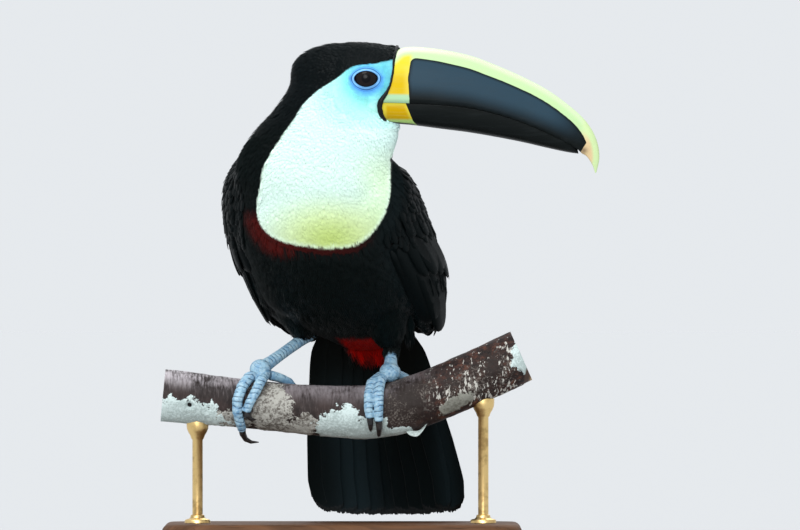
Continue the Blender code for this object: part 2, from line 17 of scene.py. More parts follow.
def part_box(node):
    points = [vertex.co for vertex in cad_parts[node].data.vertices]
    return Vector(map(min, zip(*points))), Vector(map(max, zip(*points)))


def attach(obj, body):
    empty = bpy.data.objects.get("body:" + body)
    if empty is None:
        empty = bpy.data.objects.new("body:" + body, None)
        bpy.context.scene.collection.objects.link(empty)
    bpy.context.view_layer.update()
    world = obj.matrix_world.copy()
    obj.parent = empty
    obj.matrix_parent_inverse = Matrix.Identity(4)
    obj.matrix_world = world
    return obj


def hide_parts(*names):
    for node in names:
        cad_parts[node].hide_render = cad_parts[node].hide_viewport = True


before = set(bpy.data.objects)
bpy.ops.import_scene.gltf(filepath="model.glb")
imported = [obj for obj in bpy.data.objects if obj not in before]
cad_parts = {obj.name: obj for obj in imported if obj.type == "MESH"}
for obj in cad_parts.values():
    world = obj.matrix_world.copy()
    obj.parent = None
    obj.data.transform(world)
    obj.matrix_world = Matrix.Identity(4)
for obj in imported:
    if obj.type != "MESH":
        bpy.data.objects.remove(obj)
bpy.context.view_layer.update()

MM = 0.001

# ---- Studio: a level long-lens camera in front of the chest, soft light from above, a pale floor ----
# The floor runs far out and is as bright as the air behind it, so that no horizon shows.

VIEW_CENTRE = Vector((33.6, -20.0, 166.2)) * MM
VIEW_WIDTH = 464.0 * MM
CAMERA_DISTANCE = 12.0

scene = bpy.context.scene
scene.view_settings.view_transform = "Standard"
lens = bpy.data.cameras.new("camera")
lens.sensor_width = 36.0
lens.lens = lens.sensor_width * CAMERA_DISTANCE / VIEW_WIDTH
lens.clip_end = 200.0
camera = bpy.data.objects.new("camera", lens)
camera.location = VIEW_CENTRE - Vector((0, CAMERA_DISTANCE, 0))
camera.rotation_euler = (math.radians(90), 0, 0)
scene.collection.objects.link(camera)
scene.camera = camera

AIR_COLOUR = Vector((0.79, 0.82, 0.85))
air = bpy.data.worlds.new("studio_air")
air.use_nodes = True
air.node_tree.nodes["Background"].inputs["Color"].default_value = (*AIR_COLOUR, 1.0)
scene.world = air


def lamp(name, degrees_over, degrees_round, strength, softness):
    """A far lamp: how high over the floor, how far round from the camera's side towards +X."""
    light = bpy.data.lights.new(name, "SUN")
    light.energy = strength
    light.angle = math.radians(softness)
    lamp_object = bpy.data.objects.new(name, light)
    lamp_object.rotation_euler = (math.radians(90 - degrees_over), 0, math.radians(degrees_round))
    scene.collection.objects.link(lamp_object)


lamp("key_overhead", 58, -28, 1.9, 35)
lamp("fill_front", 17, -6, 2.0, 32)
lamp("rim_back", 48, 165, 0.9, 40)

FLOOR_REACH = 40.0


def finished_mesh(shape, smooth_below=None):
    """The bmesh as a mesh, smooth where its edges turn less than this many degrees."""
    mesh = bpy.data.meshes.new("mesh")
    shape.to_mesh(mesh)
    shape.free()
    if smooth_below:
        mesh.shade_smooth()
        mesh.set_sharp_from_angle(angle=math.radians(smooth_below))
    return mesh


shape = bmesh.new()
bmesh.ops.create_grid(shape, x_segments=1, y_segments=1, size=FLOOR_REACH)
floor = bpy.data.objects.new("floor", finished_mesh(shape))
scene.collection.objects.link(floor)
paper = bpy.data.materials.new("floor_paper")
paper.use_nodes = True
lamps = [o for o in scene.objects if o.type == "LIGHT"]
lamplight = sum(o.data.energy * math.cos(o.rotation_euler.x) for o in lamps) / math.pi
paper_tone = [part / (part + lamplight) for part in AIR_COLOUR]
paper_look = {"Base Color": (*paper_tone, 1), "Roughness": 1.0, "Specular IOR Level": 0.0}
for socket, setting in paper_look.items():
    paper.node_tree.nodes["Principled BSDF"].inputs[socket].default_value = setting
floor.data.materials.append(paper)

# ---- Base: a flat board of dark oiled hardwood, its corners round and its top edge moulded ----
# It is one board: the lower part is plain, and a small step and a quarter round lead up to the top.


class Value:
    """A socket in a material's nodes. Arithmetic on values adds Math nodes."""

    def __init__(self, tree, socket):
        self.tree = tree
        self.socket = socket

    def node(self, kind, settings=None, inputs=None, output=0):
        """Another node of this type: its settings first, then its sockets' numbers or links."""
        made = self.tree.nodes.new("ShaderNode" + kind)
        for name, setting in (settings or {}).items():
            setattr(made, name, setting)
        for name, given in (inputs or {}).items():
            if isinstance(given, Value):
                self.tree.links.new(given.socket, made.inputs[name])
            else:
                made.inputs[name].default_value = given
        return Value(self.tree, made.outputs[output])

    def math(self, operation, *others):
        """A Math node that takes this value first and the others after it."""
        return self.node("Math", {"operation": operation}, dict(enumerate((self, *others))))

    def __add__(self, other):
        return self.math("ADD", other)

    __radd__ = __add__

    def __sub__(self, other):
        return self.math("SUBTRACT", other)

    def __rsub__(self, other):
        return self.node("Math", {"operation": "SUBTRACT"}, {0: other, 1: self})

    def __mul__(self, other):
        return self.math("MULTIPLY", other)


def new_finish(name, colour=(0.5, 0.5, 0.5), roughness=0.5, **constants):
    """A material with its constant values set, its shader, and the place on the piece."""
    made = bpy.data.materials.new(name)
    made.use_nodes = True
    tree = made.node_tree
    shader = tree.nodes["Principled BSDF"]
    shader.inputs["Base Color"].default_value = (*colour, 1.0)
    shader.inputs["Roughness"].default_value = roughness
    for socket, number in constants.items():
        shader.inputs[socket.replace("_", " ")].default_value = number
    coordinates = tree.nodes.new("ShaderNodeTexCoord")
    return made, shader, Value(tree, coordinates.outputs["Object"])


def feed(shader, socket, value):
    """Links a value to one of the shader's sockets."""
    value.tree.links.new(value.socket, shader.inputs[socket])


def blend(share, low, high):
    """A colour that goes from low to high as the share goes from 0 to 1."""
    low, high = (colour if isinstance(colour, Value) else (*colour, 1.0) for colour in (low, high))
    return share.node("Mix", {"data_type": "RGBA"}, {0: share, 6: low, 7: high}, output=2)


def step(value, low, high):
    """0 below low, 1 above high, smooth between them."""
    inputs = {"Value": value, "From Min": low, "From Max": high}
    return value.node("MapRange", {"interpolation_type": "SMOOTHSTEP"}, inputs)


def stretched(place, *scale):
    """The place with each axis multiplied, so that a pattern on it is drawn out."""
    return place.node("VectorMath", {"operation": "MULTIPLY"}, {0: place, 1: scale})


def grain(place, scale, detail=3.0, roughness=0.55):
    """Soft noise from 0 to 1."""
    inputs = {"Vector": place, "Scale": scale, "Detail": detail, "Roughness": roughness}
    return place.node("TexNoise", {}, inputs)


def axis(place, name):
    """One coordinate of the place."""
    return place.node("SeparateXYZ", {}, {0: place}, output=name)


def relief(shader, height, strength, distance):
    """Bumps of this height, the distance being what a height of 1 means in metres."""
    inputs = {"Strength": strength, "Distance": distance, "Height": height}
    feed(shader, "Normal", height.node("Bump", {}, inputs))


def new_piece(name, mesh, finish, replaced):
    """Puts a finished mesh in the scene as a piece that stands for the named CAD nodes."""
    mesh.name = name
    mesh.materials.clear()
    mesh.materials.append(finish)
    piece = bpy.data.objects.new(name, mesh)
    scene.collection.objects.link(piece)
    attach(piece, "root")
    if replaced:
        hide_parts(*replaced)
    return piece


walnut, shader, place = new_finish("oiled_walnut", roughness=0.5, Specular_IOR_Level=0.12)
sway = grain(stretched(place, 3.0, 9.0, 9.0), 1.6, detail=2.0)
rings = axis(place, "Y") * 62.0 + axis(place, "Z") * 34.0 + sway * 9.0
figure = grain(place.node("CombineXYZ", {}, {0: axis(place, "X") * 1.2, 1: rings, 2: 0.0}), 1.3, 5.0, 0.6)
fibre = grain(stretched(place, 28.0, 900.0, 900.0), 1.0, 4.0, 0.65)
pores = step(grain(stretched(place, 60.0, 1500.0, 1500.0), 1.0, 1.0), 0.64, 0.74)
tone = blend(step(figure, 0.34, 0.68), (0.03, 0.0125, 0.006), (0.105, 0.047, 0.022))
tone = blend(fibre * 0.45, tone, (0.17, 0.085, 0.042))
tone = blend(pores * 0.75, tone, (0.008, 0.004, 0.003))
feed(shader, "Base Color", tone)
feed(shader, "Roughness", 0.5 + fibre * 0.2 + pores * 0.2)
relief(shader, fibre * 0.4 - pores, 0.35, 0.08 * MM)

BASE_CORNER = 30.0 * MM
PLAIN_HEIGHT = 9.0 * MM
STEP_IN = 1.6 * MM
TOP_ROUND = 4.6 * MM
FOOT_ROUND = 0.8 * MM

low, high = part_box("stand_base")
shape = bmesh.new()
bmesh.ops.create_cube(shape, size=1.0)
bmesh.ops.scale(shape, vec=(high.x - low.x, high.y - low.y, PLAIN_HEIGHT), verts=shape.verts)
bmesh.ops.translate(shape, vec=((low + high) / 2).to_2d().to_3d(), verts=shape.verts)
bmesh.ops.translate(shape, vec=(0, 0, PLAIN_HEIGHT / 2), verts=shape.verts)
corners = [e for e in shape.edges if abs(e.verts[0].co.z - e.verts[1].co.z) > PLAIN_HEIGHT / 2]
bevels = {"affect": "EDGES", "profile": 0.5, "material": -1}
bmesh.ops.bevel(shape, geom=corners, offset=BASE_CORNER, segments=16, **bevels)
lid = max(shape.faces, key=lambda f: f.calc_center_median().z)
for inward, upward in ((STEP_IN, 0.0), (0.05 * MM, high.z - PLAIN_HEIGHT)):
    bmesh.ops.inset_individual(shape, faces=[lid], thickness=inward, depth=upward)
bmesh.ops.bevel(shape, geom=list(lid.edges), offset=TOP_ROUND, segments=6, **bevels)
foot = [e for e in shape.edges if all(abs(v.co.z) < 1e-6 for v in e.verts)]
bmesh.ops.bevel(shape, geom=foot, offset=FOOT_ROUND, segments=2, **bevels)
bmesh.ops.recalc_face_normals(shape, faces=shape.faces)
new_piece("base_board", finished_mesh(shape, 35), walnut, ["stand_base"])

# ---- Rods: two turned brass rods with a collar on the base and a small cup under the branch ----
# The collar stands on the board round the rod's foot. The branch sits in the cup on top.

brass, shader, place = new_finish("brushed_brass", (0.72, 0.5, 0.2), 0.3, Metallic=1.0)
brushed = grain(stretched(place, 300.0, 300.0, 5200.0), 1.0, 2.0)
tarnish = grain(place, 150.0, 4.0, 0.6)
worn = blend(step(tarnish, 0.42, 0.72), (0.78, 0.56, 0.24), (0.42, 0.27, 0.1))
feed(shader, "Base Color", worn)
feed(shader, "Roughness", 0.2 + brushed * 0.16 + tarnish * 0.14)
relief(shader, brushed, 0.15, 0.02 * MM)

# Outlines of the collar and the cup: radius, and height over the rod's lower or upper end, in millimetres.
COLLAR = [(0.0, 0.0), (7.5, 0.0), (7.5, 1.4), (6.9, 2.1), (4.9, 2.6), (4.2, 3.4), (3.9, 4.6), (3.0, 5.0)]
CUP = [(3.0, -11.0), (3.7, -10.2), (4.2, -8.6), (5.4, -6.6)]
CUP += [(6.2, -4.6), (6.4, -2.6), (6.4, -0.2), (0.0, -0.2)]
CUP_LIP = 1.6  # how far the cup's rim stands over the rod's end

for side in ("left_hand", "right_hand"):
    node = "stand_rod_" + side
    low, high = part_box(node)
    centre = (low + high) / 2
    profile = [(r, low.z / MM + z) for r, z in COLLAR] + [(r, high.z / MM + z + CUP_LIP) for r, z in CUP]
    shape = bmesh.new()
    points = [shape.verts.new((r * MM, 0, z * MM)) for r, z in profile]
    edges = [shape.edges.new(pair) for pair in zip(points, points[1:])]
    turning = {"cent": (0, 0, 0), "axis": (0, 0, 1), "angle": math.tau, "steps": 40, "use_merge": True}
    bmesh.ops.spin(shape, geom=points + edges, **turning)
    bmesh.ops.remove_doubles(shape, verts=shape.verts, dist=0.001 * MM)
    bmesh.ops.recalc_face_normals(shape, faces=shape.faces)
    bmesh.ops.translate(shape, vec=(centre.x, centre.y, 0), verts=shape.verts)
    new_piece("rod_" + side, finished_mesh(shape, 50), brass, [node])

# ---- Perch: a cut length of living branch, smooth purple-brown bark under crusts of lichen, sawn ends ----
# It is one tube along its own bent line. Crusts stand a little proud of the bark, and a dead twig has left a
# small black hole. The sawn ends show pale wood with its rings.

BRANCH = [  # x, height of the centre line and radius, in millimetres
    (-104.0, 90.6, 15.2), (-86.0, 88.9, 14.9), (-62.0, 86.1, 14.3), (-34.0, 83.4, 14.2),
    (-8.0, 81.4, 14.7), (15.0, 81.0, 15.3), (35.0, 84.2, 15.6), (56.0, 91.7, 15.7), (80.0, 102.3, 15.6),
    (104.0, 113.4, 15.3),
]
# Crusts of three kinds: pale grey, smooth mint and rough brown scurf. Each row is a place along x, degrees
# round from the top towards the chest's side, half length and half width, lengths in millimetres.
CRUSTS = {
    "grey": [(-41, 98, 13, 20), (-29, 150, 12, 9), (-66, 140, 14, 8), (66, 128, 10, 6), (-20, 122, 6, 6)],
    "mint": [
        (2, 142, 17, 17), (16, 150, 15, 14), (32, 166, 9, 8), (-94, 148, 27, 15), (106, 84, 8.5, 12),
        (58, 250, 20, 13),
    ],
    "rough": [(38, 84, 16, 16), (-22, 138, 11, 10), (80, 100, 26, 12), (-10, 290, 30, 14), (30, 20, 12, 9)],
}
KNOT = (-88.4, 107.0)  # place along x and degrees round
KNOT_SIZE = 2.3 * MM
END_ROWS = 7
BRANCH_ROWS, BRANCH_ROUND = 250, 104


def smooth_curve(rows, count):
    """Rows of numbers read evenly along a smooth curve through the given ones."""
    rows = np.array(rows, float)
    rows = np.vstack([2 * rows[0] - rows[1], rows, 2 * rows[-1] - rows[-2]])
    at = np.linspace(0, len(rows) - 3, count)
    k = np.minimum(at.astype(int), len(rows) - 4)
    t = (at - k)[:, None]
    before, near, far, after = rows[k], rows[k + 1], rows[k + 2], rows[k + 3]
    bend = before - 2.5 * near + 2 * far - after / 2
    twist = (after - before) / 2 + 1.5 * (near - far)
    return near + (far - before) / 2 * t + bend * t**2 + twist * t**3


def grid_mesh(across, along, shape_of, merge):
    """A grid laid on a closed surface: shape_of takes two arrays from 0 to 1 and gives places in metres."""
    shape = bmesh.new()
    bmesh.ops.create_grid(shape, x_segments=across, y_segments=along, size=0.5)
    mesh = finished_mesh(shape)
    u, v, _ = places(mesh).T + 0.5
    move_to(mesh, shape_of(u, v))
    shape = bmesh_of(mesh)
    bmesh.ops.remove_doubles(shape, verts=shape.verts, dist=merge)
    bmesh.ops.dissolve_degenerate(shape, edges=shape.edges, dist=merge / 4)
    bmesh.ops.holes_fill(shape, edges=[e for e in shape.edges if e.is_boundary])
    bmesh.ops.recalc_face_normals(shape, faces=shape.faces)
    mesh = finished_mesh(shape)
    mesh.shade_smooth()
    return mesh


def bmesh_of(*meshes):
    """A bmesh that holds these meshes."""
    shape = bmesh.new()
    for mesh in meshes:
        shape.from_mesh(mesh)
    return shape


def numbers_of(layer, field, size=3, kind=float):
    """One field of every item in a layer of a mesh, as an array with a row for each item."""
    flat = np.empty(len(layer) * size, kind)
    layer.foreach_get(field, flat)
    return flat.reshape(-1, size)


def places(mesh):
    """The mesh's vertices as an array of places."""
    return numbers_of(mesh.vertices, "co")


def directions(mesh):
    """The mesh's vertex normals as an array."""
    return numbers_of(mesh.vertex_normals, "vector")


def move_to(mesh, spots):
    """Puts the mesh's vertices at these places."""
    mesh.vertices.foreach_set("co", np.asarray(spots, float).ravel())
    mesh.update()


def tree_of(spots):
    """A search tree of these places."""
    tree = KDTree(len(spots))
    for k, spot in enumerate(spots.tolist()):
        tree.insert(spot, k)
    tree.balance()
    return tree


def noise_at(spots, scale, seed=0.0):
    """Smooth noise from -1 to 1 at each place, the scale being the size of its lumps in metres."""
    return np.array([mathutils_noise.noise(Vector(s) / scale + Vector((seed, 0, 0))) for s in spots])


def keep(mesh, name, numbers):
    """Stores one number for each vertex, for the finish to read."""
    layer = mesh.attributes.new(name, "FLOAT", "POINT")
    layer.data.foreach_set("value", np.asarray(numbers, np.float32))


def kept(place, name, output="Fac"):
    """A number or colour stored on the mesh, as a value."""
    return place.node("Attribute", {"attribute_name": name}, {}, output=output)


def rise(numbers, low, high):
    """0 below low, 1 above high, smooth between them, for arrays."""
    t = np.clip((numbers - low) / (high - low), 0.0, 1.0)
    return t * t * (3 - 2 * t)


branch_line = smooth_curve(BRANCH, 500) * MM
branch_slope = np.gradient(branch_line[:, 1], branch_line[:, 0])


def branch_frame(x):
    """Height of the centre line, radius and slope of the branch at each x."""
    return [np.interp(x, branch_line[:, 0], column) for column in (*branch_line.T[1:], branch_slope)]


def tube(u, v):
    """The branch's surface: u goes round it, and v along it with its two flat ends."""
    row = v * BRANCH_ROWS
    share = np.clip((row - END_ROWS) / (BRANCH_ROWS - 2 * END_ROWS), 0, 1)
    x = branch_line[0, 0] + (branch_line[-1, 0] - branch_line[0, 0]) * share
    height, radius, slope = branch_frame(x)
    ring = np.minimum(np.minimum(row, BRANCH_ROWS - row) / END_ROWS, 1.0)
    angle = math.tau * u + math.pi
    lean = np.arctan(slope)
    over = radius * ring * np.cos(angle)
    forward = -radius * ring * np.sin(angle)
    return np.column_stack([x - over * np.sin(lean), forward, height + over * np.cos(lean)])


def round_branch(spots):
    """Each place's degrees round from the branch's top, distance from the centre line, and the radius."""
    height, radius, slope = branch_frame(spots[:, 0])
    over = (spots[:, 2] - height) * np.cos(np.arctan(slope))
    angle = np.degrees(np.arctan2(-spots[:, 1], over)) % 360
    return angle, np.hypot(over, spots[:, 1]), radius


bark_mesh = grid_mesh(BRANCH_ROUND, BRANCH_ROWS, tube, merge=0.02 * MM)
spots = places(bark_mesh)
angle, off_axis, radius = round_branch(spots)
on_bark = rise(off_axis / radius, 0.93, 0.995)
fields = {}
for kind, patches in CRUSTS.items():
    field = np.full(len(spots), -2.0)
    for x, degrees, half_long, half_wide in patches:
        round_off = (angle - degrees + 180) % 360 - 180
        arc = np.radians(round_off) * radius
        reach = np.hypot((spots[:, 0] - x * MM) / (half_long * MM), arc / (half_wide * MM))
        field = np.maximum(field, 1.0 - reach)
    seed = len(fields)
    ragged = 0.30 * noise_at(spots, 7 * MM, seed) + 0.22 * noise_at(spots, 2.4 * MM, 9 + seed)
    fields[kind] = field + ragged
    keep(bark_mesh, kind, fields[kind])
keep(bark_mesh, "sawn", 1.0 - on_bark)
# How far each place faces up: it sets where the painted top sheen goes.
keep(bark_mesh, "upper", rise(np.cos(np.radians(angle + 12)), -0.1, 0.95))
keep(bark_mesh, "ring", off_axis / MM)
feet = [node.data for name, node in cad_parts.items() if name.startswith(("toe_", "claw_", "leg_"))]
near_feet = tree_of(np.vstack([places(foot) for foot in feet]))
clear = rise(np.array([near_feet.find(Vector(s))[2] for s in spots]), 0.8 * MM, 4.5 * MM)
lumps = 0.55 * noise_at(spots, 22 * MM) + 0.28 * noise_at(spots * (1, 2.2, 2.2), 6 * MM, 4.0)
crusts = 0.34 * rise(fields["mint"], 0, 0.12) + 0.24 * rise(fields["grey"], 0, 0.1)
scurf = 0.3 * rise(fields["rough"], 0, 0.3) * (0.5 + noise_at(spots, 1.9 * MM, 6.0))
knot_off = np.hypot(spots[:, 0] - KNOT[0] * MM, np.radians(angle - KNOT[1]) * radius)
knot = 1 - rise(knot_off * (1 + 0.25 * noise_at(spots, 2 * MM, 2.0)), 0.35 * KNOT_SIZE, KNOT_SIZE)
lip = rise(knot_off, 0.7 * KNOT_SIZE, 1.2 * KNOT_SIZE)
lip *= 1 - rise(knot_off, 1.3 * KNOT_SIZE, 2.4 * KNOT_SIZE)
keep(bark_mesh, "knot", knot)
proud = clear * (lumps + crusts + scurf + 0.35 * lip) - 1.9 * knot
proud = np.minimum(proud, 0.12 + 0.75 * clear)
move_to(bark_mesh, spots + directions(bark_mesh) * (proud * on_bark * MM)[:, None])

bark, shader, place = new_finish("bark_and_lichen", roughness=0.8, Specular_IOR_Level=0.22)
grey, mint, rough = (kept(place, kind) for kind in ("grey", "mint", "rough"))
sawn, ring, knot = (kept(place, name) for name in ("sawn", "ring", "knot"))
along = axis(place, "X")
cloud = grain(place, 60.0, 4.0, 0.6)
creases = grain(stretched(place, 900.0, 160.0, 160.0), 1.0, 4.0, 0.65)
speck = grain(place, 900.0, 3.0, 0.6)
bark_tone = blend(step(cloud, 0.36, 0.66), (0.011, 0.0065, 0.006), (0.036, 0.024, 0.022))
bark_tone = blend(step(creases, 0.5, 0.72) * 0.5, bark_tone, (0.075, 0.058, 0.055))
red_side = step(along + cloud * 0.03, 0.05, 0.08)
# Painted sheen: the top of the smooth bark is painted a paler lavender-grey where light from above falls,
# faint on the red right part and brightest at the far left.
painted_top_sheen = kept(place, "upper") * step(creases * 0.5 + cloud * 0.6, 0.4, 0.68) * (1.0 - red_side * 0.85)
far_left = step(along, -0.05, -0.085)
top_sheen_tone = blend(far_left, (0.26, 0.235, 0.25), (0.5, 0.47, 0.5))
bark_tone = blend(painted_top_sheen * (0.8 + far_left * 0.15), bark_tone, top_sheen_tone)
rust = blend(step(grain(place, 150.0, 4.0, 0.65), 0.46, 0.64), (0.02, 0.009, 0.007), (0.085, 0.03, 0.017))
bark_tone = blend(red_side * 0.85, bark_tone, rust)
cracks = grain(stretched(place, 260.0, 420.0, 420.0), 1.0, 5.0, 0.7)
bark_tone = blend(step(cracks, 0.53, 0.42) * red_side * 0.8, bark_tone, (0.006, 0.004, 0.004))
scurf_tone = blend(step(speck * 0.6 + cloud * 0.5, 0.54, 0.76), (0.017, 0.011, 0.009), (0.19, 0.17, 0.15))
tone = blend(step(rough + (speck - 0.5) * 1.4, 0.0, 0.3) * 0.8, bark_tone, scurf_tone)
fleck = step(grain(stretched(place, 620.0, 240.0, 240.0), 1.0, 3.0, 0.6) + cloud * 0.6, 0.91, 0.95)
tone = blend(fleck * step(along, 0.045, 0.06) * 0.9, tone, (0.46, 0.45, 0.41))
crumbs = grain(place, 420.0, 5.0, 0.75)
crumbly = step(crumbs * 0.55 + speck * 0.3 + cloud * 0.4, 0.52, 0.68)
grey_tone = blend(crumbly, (0.08, 0.07, 0.06), (0.33, 0.325, 0.295))
grey_tone = blend(step(along, 0.02, 0.05) * 0.6, grey_tone, (0.15, 0.155, 0.125))
tone = blend(step(grey + (speck - 0.5) * 0.6, 0.0, 0.09), tone, grey_tone)
mint_tone = blend(step(cloud + (speck - 0.5) * 0.9, 0.4, 0.62), (0.34, 0.41, 0.4), (0.5, 0.59, 0.58))
tone = blend(step(mint + (speck - 0.5) * 0.35, 0.0, 0.05), tone, mint_tone)
tone = blend(step(knot, 0.45, 0.8), tone, (0.006, 0.004, 0.004))
wave = ring * 5.2 + grain(place, 90.0, 2.0) * 5.0
rings = wave.math("SINE")
wood_tone = blend(step(rings, -0.7, 0.9), (0.42, 0.27, 0.145), (0.6, 0.44, 0.27))
wood_tone = blend(step(speck, 0.55, 0.75) * 0.4, wood_tone, (0.25, 0.14, 0.07))
wood_tone = blend(step(ring, 12.6, 13.9), wood_tone, (0.06, 0.035, 0.025))
tone = blend(step(sawn, 0.3, 0.75), tone, wood_tone)
feed(shader, "Base Color", tone)
feed(shader, "Roughness", 0.62 + step(cloud, 0.4, 0.7) * 0.2 + step(mint, 0.0, 0.1) * 0.15)
crusty = speck * (0.35 + step(grey, 0.0, 0.1) * 0.9 + step(rough, 0.0, 0.3) * 0.9)
relief(shader, creases * 0.7 + crusty, 0.7, 0.35 * MM)
new_piece("branch", bark_mesh, bark, ["perch_branch"])

# A flake of crust that hangs loose under the branch: its middle line, its broad way and its thin way.
FLAKE = [(36.5, -5.0, 71.0), (39.5, -5.5, 68.8), (43.8, -6.0, 68.4), (47.0, -6.5, 71.0), (49.5, -6.5, 74.5)]
FLAKE_BROAD = np.array([[0.2, 0.5, 0.85]]) * 2.0
FLAKE_THIN = np.array([[0.0, -0.85, 0.5]]) * 0.4


def flake_shape(u, v):
    """The thin curled flake: u round it, v along it, its two ends drawn to points."""
    line = smooth_curve(FLAKE, 60)
    along = np.stack([np.interp(v, np.linspace(0, 1, 60), line[:, k]) for k in range(3)], 1)
    size = np.sin(np.pi * np.clip(v, 0, 1))[:, None] ** 0.6
    turn = math.tau * u[:, None]
    curl = FLAKE_BROAD * np.cos(turn) + FLAKE_THIN * np.sin(turn)
    return (along + curl * size) * MM


flake_mesh = grid_mesh(16, 30, flake_shape, merge=0.01 * MM)
crust_finish, shader, place = new_finish("lichen_flake", roughness=0.85, Specular_IOR_Level=0.2)
speck = grain(place, 900.0, 3.0, 0.6)
feed(shader, "Base Color", blend(step(speck, 0.4, 0.65), (0.36, 0.42, 0.4), (0.52, 0.6, 0.58)))
relief(shader, speck, 0.6, 0.2 * MM)
new_piece("lichen_flake", flake_mesh, crust_finish, None)

# ---- Skin: one body skin under all the feathers, from the bill's edge to the thighs and the tail's root ----
# The modelled outline is the outline of the coat, so the skin lies inside it by the coat's depth. It is bare
# and blue round the eyes, where two lids fold in over each eyeball.

HEAD_Y = -50.0 * MM
EYE_X, EYE_HEIGHT = 14.0 * MM, 274.0 * MM
EYE_RADIUS = 7.6 * MM
EYE_OUT = 14.6 * MM  # from the middle of the head to the eyeball's centre
LID_HALF_LENGTH, LID_OVER, LID_UNDER = 7.0 * MM, 4.4 * MM, 5.1 * MM
LID_CORNERS = 1.85  # 2 would be an ellipse, and less is more pointed
LID_PROUD = 0.5 * MM
LID_FIELD = 10.5 * MM  # radius of the round patch that the lids are worked in
LID_RINGS = 26
FAR_FROM_LIDS = 50.0  # the distance kept for the rest of the skin, in millimetres
LID_INNER = ((0.985, 0.22), (0.955, 0.75), (0.7, 2.2), (0.25, 3.0))  # share of the opening, and mm deeper in

YAW = math.radians(20.0)  # the body stands turned this much to the bird's right
OUTWARD = np.array([math.cos(YAW), -math.sin(YAW), 0.0])
BACKWARD = np.array([math.sin(YAW), math.cos(YAW), 0.0])
SPINE_TOP = np.array([-6.45, 0.0, 231.0]) * MM - 44.0 * MM * BACKWARD

RIM_LINE = [  # height and x of the bead round the bill's base, from chin to forehead, and its radius, mm
    (246.0, 36.0, 0.5), (247.2, 32.5, 0.8), (248.5, 28.6, 0.9), (249.8, 25.0, 1.1), (253.2, 22.6, 1.5),
    (258.0, 21.6, 1.6), (261.8, 22.8, 1.5), (265.4, 25.5, 1.2), (270.8, 28.0, 0.8), (276.8, 29.3, 0.75),
    (284.5, 29.8, 1.1), (290.5, 31.2, 1.0), (293.5, 32.4, 0.8),
]

THROAT_LINE = [  # height and the greatest x of the skin, down the throat's front and over the left shoulder
    (206.0, 70.0), (211.0, 43.0), (217.0, 37.2), (221.3, 33.0), (224.2, 29.8), (227.1, 27.6),
    (233.0, 29.3), (240.0, 32.0), (246.0, 34.5), (250.0, 70.0),
]

FLESH = ["head", "neck", "trunk", "wing_right", "wing_left", "leg_right_thigh", "leg_left_thigh"]
CLOSE_GAPS = 0.35 * MM
SKIN_VOXEL = 1.25 * MM


def merged(shape, node, grow, up_to=None):
    """Adds a merged copy of a CAD node to the bmesh, cut off at x = up_to, each point moved out by grow."""
    added = bmesh_of(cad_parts[node].data)
    bmesh.ops.remove_doubles(added, verts=added.verts, dist=0.002 * MM)
    if up_to:
        cut = {"plane_co": (up_to, 0, 0), "plane_no": (1, 0, 0), "clear_outer": True}
        bmesh.ops.bisect_plane(added, geom=added.verts[:] + added.edges[:] + added.faces[:], **cut)
        bmesh.ops.holes_fill(added, edges=[e for e in added.edges if e.is_boundary])
    added.normal_update()
    for vertex in added.verts:
        vertex.co += vertex.normal * grow
    copy = finished_mesh(added)
    shape.from_mesh(copy)
    bpy.data.meshes.remove(copy)


def remeshed(shape, voxel, rounds):
    """The closed shapes in the bmesh joined into one even mesh and smoothed."""
    mesh = finished_mesh(shape)
    draft = bpy.data.objects.new("draft", mesh)
    scene.collection.objects.link(draft)
    remesh = draft.modifiers.new("even", "REMESH")
    remesh.mode = "VOXEL"
    remesh.voxel_size = voxel
    soften = draft.modifiers.new("soften", "SMOOTH")
    soften.iterations = rounds
    bpy.context.view_layer.update()
    made = bpy.data.meshes.new_from_object(draft.evaluated_get(bpy.context.evaluated_depsgraph_get()))
    bpy.data.objects.remove(draft)
    bpy.data.meshes.remove(mesh)
    return made


def read_table(table, numbers, column=1):
    """Reads one column of a table between its rows, by its first column."""
    rows = np.array(table, float)
    return np.interp(numbers, rows[:, 0], rows[:, column])


def rim_x(heights):
    """Where the bead round the bill's base stands, at these heights in millimetres."""
    return read_table(RIM_LINE, heights)


def eye_distance(spots):
    """Distance from the nearer eye's axis, seen from the side of the head."""
    off = np.hypot(spots[:, 0] - EYE_X, spots[:, 2] - EYE_HEIGHT)
    return np.where(spots[:, 2] > 245 * MM, off, 1.0)


FULLER = [  # how much fuller the coat is there, then where in x and height it starts and ends, all in mm
    (1.6, (-46, -58), (160, 178), (226, 212)),
    (2.0, (-24, -36), (114, 122), (156, 142)),
]
RIGHT_CUFF = (-21.9, 26.7, 124.0)  # where the right thigh ends, which the belly's feathers hide
BARE_EYE_FIELD = 20 * MM  # the coat grows deeper with the distance from the eye up to this far off
FACE_DEPTHS = [(0.0, 0.15), (11.0, 0.2), (16.0, 0.7), (30.0, 1.3), (55.0, 1.9), (90.0, 2.6), (150.0, 2.9)]


